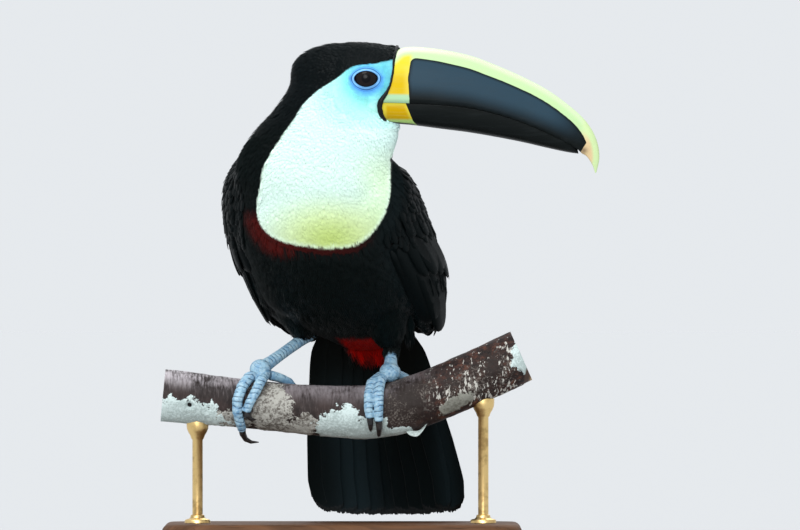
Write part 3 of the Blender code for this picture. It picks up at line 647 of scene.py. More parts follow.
def coat_depth(spots):
    """How deep the coat is at each place: least on the face, most on the breast and back."""
    from_face = np.linalg.norm(spots - np.array([20 * MM, HEAD_Y, 271 * MM]), axis=1)
    off_eye = np.minimum(eye_distance(spots), BARE_EYE_FIELD)
    from_face = np.where(from_face < 30 * MM, off_eye, from_face)
    distances, depths = np.array(FACE_DEPTHS).T * MM
    depth = np.interp(from_face, distances, depths)
    bill_edge = 34 * MM - spots[:, 0]
    near_bill = (spots[:, 2] > 245 * MM) & (spots[:, 0] > 15 * MM)
    depth = np.where(near_bill, np.minimum(depth, np.maximum(bill_edge, 0.3 * MM) * 0.09), depth)
    low = rise(spots[:, 2], 150 * MM, 112 * MM)
    x, height = spots[:, 0] / MM, spots[:, 2] / MM
    under_bill = rise(x - rim_x(height), -0.3, 0.7) * rise(height, 243, 245.2) * rise(height, 294, 291.5)
    off_cuff = np.linalg.norm(spots / MM - np.array(RIGHT_CUFF), axis=1)
    changed = 1.7 * under_bill + 2.2 * rise(off_cuff, 7.5, 3.5)
    for amount, x_range, foot, top in FULLER:
        changed = changed - amount * rise(x, *x_range) * rise(height, *foot) * rise(height, *top)
    return depth * (1 - 0.35 * low) + changed * MM


shape = bmesh.new()
for node in FLESH:
    merged(shape, node, CLOSE_GAPS)
for node in ("eye_right", "eye_left"):
    merged(shape, node, 0.1 * MM)
for node in ("bill_upper", "bill_lower"):
    merged(shape, node, -0.5 * MM, 36 * MM)
skin_mesh = remeshed(shape, SKIN_VOXEL, 12)
spots, outward = places(skin_mesh), directions(skin_mesh)
spots -= outward * (coat_depth(spots) + CLOSE_GAPS)[:, None]
past = (spots[:, 0] - read_table(THROAT_LINE, spots[:, 2] / MM) * MM) / MM
spots[:, 0] -= np.logaddexp(0.0, past / 0.7) * 0.7 * MM
move_to(skin_mesh, spots)


def lid_edge(turn):
    """How far the lids' opening reaches from the eye's axis, at each turn round it."""
    across = np.abs(np.cos(turn) / LID_HALF_LENGTH) ** LID_CORNERS
    half_height = np.where(np.sin(turn) > 0, LID_OVER, LID_UNDER)
    upward = np.abs(np.sin(turn) / half_height) ** LID_CORNERS
    return (across + upward) ** (-1 / LID_CORNERS)


def over_eyeball(reach, radius):
    """How far out from the head's middle a ball of this radius in the eye's place stands."""
    return EYE_OUT + np.sqrt(np.maximum(radius**2 - reach**2, 0.0))


def lid_profile(turn, share, surface, seed):
    """Reach from the eye's axis and distance from the head's middle, from the patch's rim in to the lids."""
    edge = lid_edge(turn)
    reach = LID_FIELD + (edge - LID_FIELD) * share
    off_lid = reach - edge
    ball = over_eyeball(reach, EYE_RADIUS + LID_PROUD)
    inner = np.where(reach < EYE_RADIUS, ball, EYE_OUT)
    out = np.logaddexp(surface / (0.35 * MM), inner / (0.35 * MM)) * 0.35 * MM
    out -= 0.35 * MM * math.log(2) * np.exp(-(((surface - inner) / (0.7 * MM)) ** 2))
    folds = np.sin(off_lid / MM * 6.4 + 0.9 * np.sin(3 * turn + seed)) * np.exp(-off_lid / (1.9 * MM))
    fine_folds = 0.35 * np.sin(off_lid / MM * 11.0 + 1.3 * np.sin(5 * turn + 2 * seed))
    folds += fine_folds * np.exp(-off_lid / (4 * MM))
    fade = rise(share, 0.03, 0.3)
    brim = np.exp(-((off_lid - 0.35 * MM) ** 2) / (0.3 * MM) ** 2)
    return reach, out + fade * (0.13 * folds + 0.16 * brim) * MM


def off_eye_axis(spot):
    """How far a place stands from the eyes' axis, and its turn round it."""
    across, upward = spot.x - EYE_X, spot.z - EYE_HEIGHT
    return math.hypot(across, upward), math.atan2(upward, across)


def cut_field(shape, side):
    """Cuts the round patch of the lids out of the skin and gives its edge."""

    def inside_field(vertex):
        return off_eye_axis(vertex.co)[0] < LID_FIELD and (vertex.co.y - HEAD_Y) * side > 6 * MM

    on_circle = []
    for edge in [e for e in shape.edges if inside_field(e.verts[0]) != inside_field(e.verts[1])]:
        start, end = sorted(edge.verts, key=inside_field, reverse=True)
        low, high = 0.0, 1.0
        for _ in range(18):
            share = (low + high) / 2
            reach = off_eye_axis(start.co.lerp(end.co, share))[0]
            low, high = (share, high) if reach < LID_FIELD else (low, share)
        on_circle.append(bmesh.utils.edge_split(edge, start, min(max(share, 0.001), 0.999))[1])
    bmesh.ops.connect_verts(shape, verts=on_circle)
    cut_out = [f for f in shape.faces if any(inside_field(v) and v not in on_circle for v in f.verts)]
    bmesh.ops.delete(shape, geom=cut_out, context="FACES")
    return [e for e in shape.edges if e.is_boundary]


def grown_loop(shape, loop):
    """A new ring of edges grown from the loop, still in its place."""
    grown = bmesh.ops.extrude_edge_only(shape, edges=loop)["geom"]
    return [g for g in grown if isinstance(g, bmesh.types.BMEdge) and g.is_boundary]


def work_lid(loop, side, share):
    """Puts the loop's points where the lids' profile says, at this share of the way in."""
    for vertex in {v for e in loop for v in e.verts}:
        turn = off_eye_axis(vertex.co)[1]
        reach = LID_FIELD + (lid_edge(turn) - LID_FIELD) * share
        spot = Vector((EYE_X + reach * math.cos(turn), 0, EYE_HEIGHT + reach * math.sin(turn)))
        start = Vector((spot.x, HEAD_Y + side * 40 * MM, spot.z))
        surface = abs(surface_tree.ray_cast(start, Vector((0, -side, 0)))[0].y - HEAD_Y)
        reach, out = lid_profile(np.array(turn), share, surface, 1.0 + side)
        vertex.co = (spot.x, HEAD_Y + side * float(out), spot.z)
        vertex[lid_layer] = (float(reach) - float(lid_edge(turn))) / MM


shape = bmesh_of(skin_mesh)
surface_tree = BVHTree.FromBMesh(shape)
lid_layer = shape.verts.layers.float.new("lid")
for vertex in shape.verts:
    vertex[lid_layer] = FAR_FROM_LIDS
for side in (-1, 1):
    loop = cut_field(shape, side)
    work_lid(loop, side, 0.0)
    for ring in range(1, LID_RINGS + 1):
        loop = grown_loop(shape, loop)
        work_lid(loop, side, (ring / LID_RINGS) ** 0.85)
    for inward, deeper in LID_INNER:
        loop = grown_loop(shape, loop)
        for vertex in {v for e in loop for v in e.verts}:
            turn = off_eye_axis(vertex.co)[1]
            reach = float(lid_edge(turn)) * inward
            out = min(abs(vertex.co.y - HEAD_Y), float(over_eyeball(reach, EYE_RADIUS + LID_PROUD)))
            spot = (EYE_X + reach * math.cos(turn), EYE_HEIGHT + reach * math.sin(turn))
            vertex.co = (spot[0], HEAD_Y + side * (out - deeper * MM), spot[1])
    bmesh.ops.holes_fill(shape, edges=loop)
bmesh.ops.triangulate(shape, faces=shape.faces)
bmesh.ops.recalc_face_normals(shape, faces=shape.faces)
shape.to_mesh(skin_mesh)
shape.free()
skin_mesh.shade_smooth()

# ---- Markings: black plumage, a white bib that turns lemon below, a blue face, two reds and a gold rump ----
# One rule gives the colour of every place on skin and coat. The bib is an outline seen from the chest's side
# and another seen from the far side of the turned head, and one passes into the other over the neck.

BIB_NEAR = [  # x and height in millimetres, up the bib's right edge, over the face, down its left edge
    (-10, 176.6), (-29.5, 179.8), (-41.2, 184.8), (-47.4, 192.6), (-48.2, 202), (-46.4, 212),
    (-45, 221.3), (-40.3, 230.8), (-32.9, 242.1), (-27.3, 250), (-21.5, 259.5), (-13.8, 266.9),
    (-7.7, 270.9), (-2, 274.8), (4, 279.6), (9.3, 281.6), (14.5, 282.1), (20.6, 282.7), (26, 284),
    (60, 288), (60, 234), (30, 229.3), (27.6, 224), (27.5, 210), (25.5, 199), (19, 187.6), (7.5, 178.5),
]
BIB_FAR = [
    (34, 229), (27, 231), (19, 237), (8, 246), (-4, 256), (-11, 264), (-7.7, 270.9), (-2, 274.8),
    (4, 280.2), (9.3, 282.3), (14.5, 282.9), (20.6, 283.6), (26, 285), (60, 288), (60, 231),
]
NECK_MIDDLE = ((176, -20), (208, -32), (245, -46), (262, -50))  # height and y of the neck's middle


def paint(code):
    """A colour given as six hex digits, as light."""
    shares = np.array([int(code[k : k + 2], 16) / 255 for k in (0, 2, 4)])
    return np.where(shares <= 0.04045, shares / 12.92, ((shares + 0.055) / 1.055) ** 2.4)


def inside(across, upward, outline):
    """Distance in from a closed outline, in millimetres, negative outside it."""
    corners = smooth_curve(outline + outline[:1], 6 * len(outline))
    nearest = np.full(len(across), 1e9)
    crossings = np.zeros(len(across), int)
    for (ax, ay), (bx, by) in zip(corners, corners[1:]):
        length = (bx - ax) ** 2 + (by - ay) ** 2 + 1e-9
        share = np.clip(((across - ax) * (bx - ax) + (upward - ay) * (by - ay)) / length, 0, 1)
        off = np.hypot(across - ax - share * (bx - ax), upward - ay - share * (by - ay))
        nearest = np.minimum(nearest, off)
        if ay != by:
            crosses = (ay > upward) != (by > upward)
            crossings += crosses & (across < ax + (upward - ay) * (bx - ax) / (by - ay))
    return np.where(crossings % 2 == 1, nearest, -nearest)


def into_bib(spots):
    """Distance in from the bib's edge, in millimetres, negative outside it."""
    x, y, z = spots.T / MM
    far_side = rise(y - read_table(NECK_MIDDLE, z), -10, 14)
    near, far = inside(x, z, BIB_NEAR), inside(x, z, BIB_FAR)
    return near + (far - near) * far_side


TAIL_ROOT = np.array([13.5, 35.0, 131.0]) * MM
TAIL_YAW, TAIL_SLOPE = math.radians(9.0), math.radians(40.0)
TAIL_SIDE = np.array([math.cos(TAIL_YAW), -math.sin(TAIL_YAW), 0.0])
TAIL_BACK = np.array([math.sin(TAIL_YAW), math.cos(TAIL_YAW), 0.0])
TAIL_DOWN = TAIL_BACK * math.sin(TAIL_SLOPE) - np.array([0.0, 0.0, math.cos(TAIL_SLOPE)])
TAIL_UPPER = TAIL_BACK * math.cos(TAIL_SLOPE) + np.array([0.0, 0.0, math.sin(TAIL_SLOPE)])

# The thighs' middle lines run from hip to cuff, in millimetres.
HIPS = {"right": (-26.0, 10.6, 152.0), "left": (21.0, -6.7, 152.0)}
CUFFS = {"right": RIGHT_CUFF, "left": (28.6, 8.1, 118.0)}


def off_thigh(spots, side):
    """Distance from the thigh's middle line, in millimetres, and the share of the way down it."""
    hip, cuff = np.array(HIPS[side]) * MM, np.array(CUFFS[side]) * MM
    share = np.clip((spots - hip) @ (cuff - hip) / ((cuff - hip) @ (cuff - hip)), 0, 1.2)
    return np.linalg.norm(spots - hip - share[:, None] * (cuff - hip), axis=1) / MM, share


def hump(numbers, middle, width):
    """1 at the middle, falling smoothly to 0 a few widths away from it."""
    return np.exp(-(((numbers - middle) / width) ** 2))


def coloured(count, ground, *layers):
    """Colours for this many places: the ground, with each layer's colour laid over by its share."""
    colours = np.tile(paint(ground), (count, 1))
    return laid_over(colours, *layers)


def laid_over(colours, *layers):
    """The colours with each layer laid over them in turn, a layer being its share and its colour."""
    for share, colour in layers:
        light = paint(colour) if isinstance(colour, str) else colour
        colours = colours + (light - colours) * share[:, None]
    return colours


def marking(spots):
    """The colour of the plumage and bare skin at each place."""
    x, y, z = spots.T / MM
    bib = into_bib(spots)
    low = np.hypot((x + 7) / 40, (z - 182) / 24)
    off_eye = eye_distance(spots) / MM
    face_blues = ((34, "cdf7f4"), (25, "c8fdf6"), (18, "a1f1ed"), (13, "71d7e1"), (9.5, "46a1cc"))
    white = coloured(
        len(spots),
        "dbf5f1",
        (rise(z, 250, 215), "dff5ec"),
        (rise(x, 2, 24) * rise(z, 240, 215) * 0.8, "def6d3"),
        (0.75 * (1 - rise(low, 0.35, 1.25)), "d2e396"),
        (0.75 * (1 - rise(low, 0.0, 0.62)), "c1d672"),
        ((1 - rise(bib, 0.2, 2.6)) * rise(z, 262, 240) * 0.6, "e6faeb"),
        *((1 - rise(off_eye, reach - 6, reach + 3), colour) for reach, colour in face_blues),
        (rise(x, 17, 24) * rise(z, 258, 266) * 0.85, "48a7b8"),
    )
    beside = rise(np.abs((spots - SPINE_TOP) @ OUTWARD) / MM, 32, 52) * rise(z, 228, 212)
    reach = rise(x, -38, -18) * 4.5
    breast = rise(bib, -12.0 + reach, -6.5 + reach * 0.8) * rise(z, 200, 190) * rise(y, -30, -45)
    strength = 0.3 + 0.9 * hump(x, -38, 18) + 0.3 * hump(x, -4, 14)
    down, across, raised = ((spots - TAIL_ROOT) @ way / MM for way in (TAIL_DOWN, TAIL_SIDE, TAIL_UPPER))
    vent = rise(down, -14, -6) * rise(raised, -1, -2.5) * rise(np.abs(across - 2), 16, 11)
    vent *= rise(down, 40, 32)
    vent *= rise(down * 0.8 - across, 30, 24) * rise(off_thigh(spots, "left")[0], 8.5, 10.5)
    rump = rise(down, -15, -7) * rise(raised, 0, 2) * rise(np.abs(across), 22, 16) * rise(down, 44, 34)
    return coloured(
        len(spots),
        "050c0c",
        (rise(z, 235, 262), "060d0f"),
        (beside * 0.8, "0b1416"),
        (breast * np.clip(strength, 0, 1) * rise(x, 22, 8), "440d0a"),
        (rise(bib, -0.35, 0.45), np.clip(white, 0, 1)),
        (vent, "9c0a04"),
        (rump, "dd9c0e"),
    )


def lid_marking(spots, off_lid, colours):
    """The bare skin's own colours close round the lids: a pale brim, two dark creases and deep blue below."""
    x, z = spots[:, 0] / MM - EYE_X / MM, spots[:, 2] / MM - EYE_HEIGHT / MM
    round_lid = hump(off_lid, 0, 4.5) * (off_lid > -1)
    round_lid *= np.maximum(rise(into_bib(spots), -0.4, 0.4), rise(off_lid, 1.0, 0.6))
    under = round_lid * rise(-z, 0.5, 4.0) * rise(off_lid, 0.5, 2)
    corner = np.exp(-(((np.abs(x) - 8.6) / 1.6) ** 2) - (z / 1.5) ** 2)
    return laid_over(
        colours,
        (0.8 * round_lid, "5aa6ea"),
        (0.6 * under, "3f86dc"),
        (0.6 * corner * (off_lid < 20), "2d62b4"),
        (0.85 * hump(off_lid, 0.55, 0.42), "86b8e6"),
        (hump(off_lid, 1.5, 0.26), "10305f"),
        (0.6 * hump(off_lid, 2.35, 0.2), "2a5ca8"),
        (hump(off_lid, -0.25, 0.3), "0a1222"),
    )


def keep_colour(mesh, colours):
    """Stores the marking on the mesh's points, for its finish to read."""
    layer = mesh.color_attributes.new("marking", "FLOAT_COLOR", "POINT")
    packed = np.column_stack([colours, np.ones(len(colours))]).astype(np.float32)
    layer.data.foreach_set("color", packed.ravel())


spots = places(skin_mesh)
off_lid = numbers_of(skin_mesh.attributes["lid"].data, "value", 1, np.float32)[:, 0]
keep_colour(skin_mesh, lid_marking(spots, off_lid, marking(spots)))

hide, shader, place = new_finish("bare_skin", roughness=0.55, Specular_IOR_Level=0.25)
tone = kept(place, "marking", "Color")
pebble = place.node("TexVoronoi", {"feature": "DISTANCE_TO_EDGE"}, {"Vector": place, "Scale": 1400.0})
wrinkle = grain(stretched(place, 420.0, 420.0, 700.0), 1.0, 4.0, 0.6)
bright = step(tone.node("RGBToBW", {}, {0: tone}), 0.05, 0.3)
# Painted shade: the bright blue skin is painted darker in the wrinkles' hollows.
tone = blend(step(wrinkle, 0.62, 0.4) * bright * 0.16, tone, (0.02, 0.08, 0.25))
feed(shader, "Base Color", tone)
feed(shader, "Roughness", 0.45 + wrinkle * 0.25 + (1.0 - bright) * 0.4)
relief(shader, step(pebble, 0.0, 0.12) * 0.5 + wrinkle, 0.45, 0.12 * MM)
skin = new_piece("skin", skin_mesh, hide, FLESH)


def unwrap(piece):
    """Unwraps a piece by its own shape into the map that a bake uses."""
    piece.data.uv_layers.new(name="OFBake")
    bpy.context.view_layer.objects.active = piece
    piece.select_set(True)
    bpy.ops.object.mode_set(mode="EDIT")
    bpy.ops.mesh.select_all(action="SELECT")
    bpy.ops.uv.smart_project(angle_limit=math.radians(66), island_margin=0.004)
    bpy.ops.object.mode_set(mode="OBJECT")
    piece.select_set(False)


unwrap(skin)

# ---- Coat: small feathers laid over the skin, back from the bill and down the body to the tail ----
# Each one is a closed blade or a tuft of barbs. It is grown step by step over the skin from its root, and
# rises from the skin to its tip, so that it lies on those behind it. The tips make the outline.

skin_spots = places(skin_mesh)
skin_outward = directions(skin_mesh)
skin_corners = numbers_of(skin_mesh.loops, "vertex_index", 1, np.int32).reshape(-1, 3)
skin_map = numbers_of(skin_mesh.uv_layers["OFBake"].data, "uv", 2).reshape(-1, 3, 2)
skin_tree = BVHTree.FromPolygons(skin_spots.tolist(), skin_corners.tolist())
skin_centres = skin_spots[skin_corners].mean(1)
first, second, third = (skin_spots[skin_corners[:, k]] for k in range(3))
skin_areas = np.linalg.norm(np.cross(second - first, third - first), axis=1) / 2

LIE = [  # the line that the coat follows, from the forehead to the tail, in millimetres
    (38, -50, 271), (0, -50, 273), (-14, -45, 247), (-15, -35, 215), (-5, -12, 185), (0, 3, 160),
    (8, 28, 133), (28, 110, 40),
]
PATCH = 0.003  # each feather's share of the bake map, across
COAT_STEPS = 5  # rows of places along a feather of the coat
CLOSE_TO_SKIN = 0.5  # how far a growing feather is drawn back to the skin at each step
FOLLOW_LIE = 0.3  # how far it turns at each step to the way the coat lies there


def unit(vectors):
    """The vectors at length 1."""
    return vectors / np.maximum(np.linalg.norm(vectors, axis=1), 1e-9)[:, None]


def lie(spots):
    """Which way the coat lies at each place."""
    heading = np.zeros_like(spots)
    line = np.array(LIE, float) * MM
    for start, end in zip(line, line[1:]):
        along = end - start
        share = np.clip((spots - start) @ along / (along @ along), 0, 1)
        off = np.linalg.norm(spots - start - share[:, None] * along, axis=1)
        heading += along / np.linalg.norm(along) / ((off**2 + (8 * MM) ** 2) ** 2)[:, None]
    heading = unit(heading)
    for side in HIPS:
        off, share = off_thigh(spots, side)
        near = (1 - rise(off, 9, 17)) * rise(share, 0.35, 0.7)
        down_thigh = unit(np.array([CUFFS[side]]) - np.array([HIPS[side]]))[0]
        heading += (down_thigh * 2 - heading) * near[:, None]
    return unit(heading)


def on_skin(spots):
    """The nearest place on the skin, its outward direction and its place on the unwrap."""
    found = [skin_tree.find_nearest(spot) for spot in spots.tolist()]
    near = np.array([f[0] for f in found])
    corners = skin_corners[[f[2] for f in found]]
    a, b, c = (skin_spots[corners[:, k]] for k in range(3))
    ab, ac, ap = b - a, c - a, near - a
    bb, bc, cc = (ab * ab).sum(1), (ab * ac).sum(1), (ac * ac).sum(1)
    pb, pc = (ap * ab).sum(1), (ap * ac).sum(1)
    under = np.maximum(bb * cc - bc * bc, 1e-30)
    second, third = (cc * pb - bc * pc) / under, (bb * pc - bc * pb) / under
    shares = np.clip(np.column_stack([1 - second - third, second, third]), 0, 1)[:, :, None]
    outward = unit((skin_outward[corners] * shares).sum(1))
    return near, outward, (skin_map[[f[2] for f in found]] * shares).sum(1)


def scatter(chosen, spacing, seed):
    """Roots spread evenly over the chosen triangles of the skin, spacing apart."""
    rng = np.random.default_rng(seed)
    gap = np.broadcast_to(spacing, len(skin_centres))
    weight = np.where(chosen, skin_areas / gap**2, 0.0)
    picked = rng.choice(len(weight), int(3.2 * weight.sum()) + 1, p=weight / weight.sum())
    first, second = rng.random((2, len(picked), 1))
    folded = first + second > 1
    first, second = np.where(folded, 1 - first, first), np.where(folded, 1 - second, second)
    a, b, c = (skin_spots[skin_corners[picked, k]] for k in range(3))
    spots = a + (b - a) * first + (c - a) * second
    tree = tree_of(spots)
    crowded, roots = np.zeros(len(spots), bool), []
    for k, spot in enumerate(spots.tolist()):
        if not crowded[k]:
            roots.append(k)
            for _, other, _ in tree.find_range(spot, gap[picked[k]]):
                crowded[other] = True
    return spots[roots]


def tuft(barbs, thickness, ridge=0.8):
    """A bunch of closed barbs: each from (along, across) at its root to (along, across) at its tip.

    It gives points, triangles, each point's barb, and the place in each barb where its colour is read.
    """
    points, faces, group, centres = [], [], [], []
    for k, (start, start_x, end, end_x) in enumerate(barbs):
        first = len(points)
        for share, size in ((0.0, 0.7), (0.55, 1.0)):
            along, across = start + (end - start) * share, start_x + (end_x - start_x) * share
            half = thickness * size
            points += [(along, across - half, 0.0), (along, across, ridge * half)]
            points.append((along, across + half, 0.0))
        points.append((end, end_x, 0.0))
        triangles = []
        for near, far in ((0, 1), (1, 2), (2, 0)):
            triangles += [(near, far, far + 3), (near, far + 3, near + 3), (near + 3, far + 3, 6)]
        triangles.append((2, 1, 0))
        faces += [tuple(first + corner for corner in triangle) for triangle in triangles]
        group += [k] * 7
        centres.append((0.75 * end + 0.25 * start, 0.75 * end_x + 0.25 * start_x))
    return np.array(points), np.array(faces), np.array(group), np.array(centres)


def joined_mesh(points, faces):
    """One mesh from arrays of points and of triangles."""
    mesh = bpy.data.meshes.new("coat")
    mesh.vertices.add(len(points))
    mesh.vertices.foreach_set("co", np.asarray(points, np.float32).ravel())
    mesh.loops.add(faces.size)
    mesh.loops.foreach_set("vertex_index", faces.astype(np.int32).ravel())
    mesh.polygons.add(len(faces))
    mesh.polygons.foreach_set("loop_start", np.arange(len(faces), dtype=np.int32) * 3)
    mesh.update(calc_edges=True)
    mesh.shade_smooth()
    return mesh


def grown(roots, heading, length):
    """Follows the skin from each root: rows of places, outward directions and headings."""
    near, outward, on_map = on_skin(roots)
    heading = unit(heading - (heading * outward).sum(1)[:, None] * outward)
    rows = [(near, outward, heading)]
    for _ in range(COAT_STEPS - 1):
        ahead = rows[-1][0] + rows[-1][2] * (length / (COAT_STEPS - 1))[:, None]
        near, under, _ = on_skin(ahead)
        off = np.maximum(((ahead - near) * under).sum(1), 0.0)
        ahead = near + under * (off * (1 - CLOSE_TO_SKIN))[:, None]
        outward = unit(rows[-1][1] + (under - rows[-1][1]))
        step_taken = unit(ahead - rows[-1][0])
        wanted = lie(ahead)
        along_skin = wanted - (wanted * outward).sum(1)[:, None] * outward
        rows.append((ahead, outward, unit((1 - FOLLOW_LIE) * step_taken + FOLLOW_LIE * along_skin)))
    return rows, on_map


def straight(roots, heading, outward, length):
    """Feathers that lie straight from their roots, off the skin."""
    shares = np.linspace(0, 1, COAT_STEPS)
    rows = [(roots + heading * (length * share)[:, None], outward, heading) for share in shares]
    return rows, on_skin(roots)[2]


def lay_coat(
    name,
    finish,
    roots,
    template,
    length,
    half_width,
    lift,
    seed,
    loose=1.0,
    heading=None,
    outward=None,
    track=None,
    tilt=0.0,
    soft=0.6,
    colour_of=marking,
):
    """Lays one feather at each root and joins them into a piece.

    Lift is the height of root and tip. A track gives the way of each feather, an outward direction lays it
    straight, and without either it is grown over the skin.
    """
    rng = np.random.default_rng(seed)
    count = len(roots)
    points, faces, group, centres = template
    length = np.broadcast_to(length, count) * rng.uniform(0.86, 1.14, count)
    half_width = np.broadcast_to(half_width, count) * rng.uniform(0.88, 1.12, count)
    low = np.broadcast_to(lift[0], count)
    high = np.broadcast_to(lift[1], count) * (1 + loose * rng.uniform(-0.18, 0.12, count))
    start = lie(roots) if heading is None else heading
    about = on_skin(roots)[1] if outward is None else outward
    turned = np.radians(rng.normal(0.0, 9.0 * loose, count))[:, None]
    start = start * np.cos(turned) + np.cross(about, start) * np.sin(turned)
    if track:
        rows, on_map = track
    elif outward is None:
        rows, on_map = grown(roots, start, length)
    else:
        rows, on_map = straight(roots, start, outward, length)
    steps = len(rows)
    way, upward, ahead = (np.stack(column, 1) for column in zip(*rows))
    tilted = np.radians(tilt + rng.normal(0.0, 5.0 * loose, count))

    def at(along, across, up):
        """Places on every feather for the template's coordinates, and the places under them."""
        row = np.clip(along, 0, 1) * (steps - 1)
        k = np.minimum(row.astype(int), steps - 2)
        share = (row - k)[None, :, None]
        spot, normal, forward = (f[:, k] + (f[:, k + 1] - f[:, k]) * share for f in (way, upward, ahead))
        sideways = np.cross(forward, normal)
        sideways /= np.maximum(np.linalg.norm(sideways, axis=2), 1e-9)[:, :, None]
        wide = (half_width[:, None] * across[None])[:, :, None]
        height = low[:, None] + (high - low)[:, None] * (np.clip(along, 0, 1) ** 0.85)[None]
        height = height + half_width[:, None] * (up[None] + across[None] * np.tan(tilted)[:, None])
        return spot + sideways * wide + normal * height[:, :, None], spot + sideways * wide

    shape_spots = at(*points.T)[0].reshape(-1, 3)
    tone_spots = at(*centres.T, np.zeros(len(centres)))[1].reshape(-1, 3)
    colours = colour_of(tone_spots).reshape(count, len(centres), 3)[:, group]
    # Each feather's tone varies a little at random, and it is painted darker towards its root: painted shade
    # where it lies under the feathers over it.
    tone_and_root_shade = (1 + 0.09 * loose * rng.uniform(-1, 1, (count, 1, 1))) * (0.9 + 0.1 * points[:, 0])[None, :, None]
    all_faces = (faces[None] + (np.arange(count) * len(points))[:, None, None]).reshape(-1, 3)
    mesh = joined_mesh(shape_spots, all_faces)
    keep_colour(mesh, np.clip((colours * tone_and_root_shade).reshape(-1, 3), 0, 1))
    row = np.rint(np.clip(points[:, 0], 0, 1) * (steps - 1)).astype(int)
    smooth = unit(upward.reshape(-1, 3)).reshape(upward.shape)[:, row].reshape(-1, 3)
    shaded = unit(directions(mesh) * (1 - soft) + smooth * soft)
    mesh.normals_split_custom_set_from_vertices(shaded.tolist())
    local = np.column_stack([points[:, 1] * 0.42, np.clip(points[:, 0], 0, 1) - 0.5]) * PATCH
    spread = np.clip(on_map[:, None] + local[None], 0.0, 1.0).reshape(-1, 2)
    mesh.uv_layers.new(name="OFBake").data.foreach_set("uv", spread[all_faces.ravel()].ravel())
    new_piece(name, mesh, finish, None)


SILK = tuft(
    [(0.0, -0.15, 0.82, -1.0), (0.06, -0.1, 0.95, -0.48), (0.0, 0.0, 1.0, 0.05), (0.05, 0.1, 0.93, 0.55),
     (0.0, 0.15, 0.84, 1.0)],
    0.36,
    0.22,
)
DOWN = tuft([(0.0, -0.2, 0.9, -0.8), (0.0, 0.0, 1.0, 0.1), (0.0, 0.2, 0.86, 0.85)], 0.34)
PLUME = tuft(
    [(0.0, -0.1, 0.74, -1.0), (0.22, -0.1, 0.92, -0.55), (0.0, 0.0, 1.0, 0.0), (0.2, 0.1, 0.9, 0.58),
     (0.0, 0.1, 0.76, 0.98)],
    0.3,
)

plumage, shader, place = new_finish("plumage", roughness=0.6, Specular_IOR_Level=0.07, Diffuse_Roughness=1.0)
tone = kept(place, "marking", "Color")
pale = tone.node("RGBToBW", {}, {0: tone})
feed(shader, "Base Color", tone)
feed(shader, "Roughness", 0.46 + step(pale, 0.02, 0.5) * 0.36)

x, y, z = skin_centres.T / MM
in_bib = into_bib(skin_centres)
off_eye = eye_distance(skin_centres) / MM
bare = (off_eye < 10.2) | ((x > 16.5) & (z > 257.5) & (off_eye < 30))
bare = (bare & (in_bib > -0.4)) | (off_eye < 7.4)
under_bill = (x > rim_x(z) + 0.3) & (z < 293) & (z > 246)
pale_part = (in_bib > -0.6) & ~bare & ~under_bill
black_part = (in_bib <= -0.6) & ~bare & ~under_bill
deep = coat_depth(skin_centres)


def by_place(numbers, roots):
    """A number known at the skin's triangles, read at the roots."""
    return numbers[[skin_tree.find_nearest(r)[2] for r in roots.tolist()]]


def cover(name, chosen, template, spacing, length, half_width, seed, high=1.0, **manner):
    """A coat piece over the chosen part: the sizes are in millimetres, as numbers or for each triangle."""
    roots = scatter(chosen, spacing * MM, seed)
    sizes = [by_place(np.broadcast_to(s, len(z)), roots) * MM for s in (length, half_width)]
    lift = (-0.25 * MM, np.maximum(by_place(deep, roots), 0.35 * MM) * high)
    lay_coat(name, plumage, roots, template, *sizes, lift, seed, **manner)


HEAD_FOOT, BIB_SPLIT, BELLY_TOP = 243, 222, 165  # heights where one coat piece ends and the next begins, mm

face_length = np.interp(off_eye, [9, 14, 24, 40], [1.6, 2.2, 3.4, 4.6])
face = pale_part & (z > 245) & (off_eye + 4 * noise_at(skin_centres, 5 * MM) < 22)
cover("coat_face", face, DOWN, 0.62, face_length, 0.45, 11, loose=0.6, high=0.85, soft=0.85)
bib_length = np.interp(z, [176, 200, 245, 270], [7.6, 7.4, 5.2, 4.0])
bib_length = bib_length * (0.6 + 0.4 * rise(in_bib, 0.5, 6))
bib_wide = np.interp(z, [176, 245, 270], [1.15, 0.95, 0.75])
bib = pale_part & ~face
for part, chosen, seed in (("upper", z >= BIB_SPLIT, 21), ("lower", z < BIB_SPLIT, 22)):
    sizes = (0.97, bib_length, bib_wide)
    cover("coat_bib_" + part, bib & chosen, SILK, *sizes, seed, loose=0.2, high=0.75, soft=0.85)
head_part = black_part & (z > HEAD_FOOT)
head_length = np.interp(off_eye, [10, 20, 40], [3.6, 4.6, 6.4])
head_gap = np.interp(off_eye, [12, 24], [0.78, 0.98])
cover("coat_crown", head_part, SILK, head_gap, head_length, 0.85, 31)

WING_BANDS = [  # height, distance behind the branch, and the folded wing's edges as angles back from the side
    (123.5, 37.5, 4.0, 50.0), (132.0, 31.0, -12.0, 66.0), (147.0, 19.0, -26.0, 70.0),
    (165.0, 4.0, -36.0, 70.0), (188.0, -13.0, -42.0, 66.0), (210.0, -28.0, -44.0, 58.0),
    (224.0, -39.0, -34.0, 46.0), (231.0, -44.0, -18.0, 30.0),
]
BODY_MIDDLE = -2.4 * MM
BODY_LEAN = 0.05


def wing_edges(heights):
    """The folded wing's two edges at these heights in millimetres, as angles back from the side."""
    return read_table(WING_BANDS, heights, 2), read_table(WING_BANDS, heights, 3)


def body_middle(heights):
    """The middle of the body at these heights in millimetres."""
    lean = BODY_MIDDLE - BODY_LEAN * (heights - 150.0) * MM
    middle = np.outer(read_table(WING_BANDS, heights) * MM, BACKWARD) + np.outer(lean, [1.0, 0.0, 0.0])
    middle[:, 2] = heights * MM
    return middle


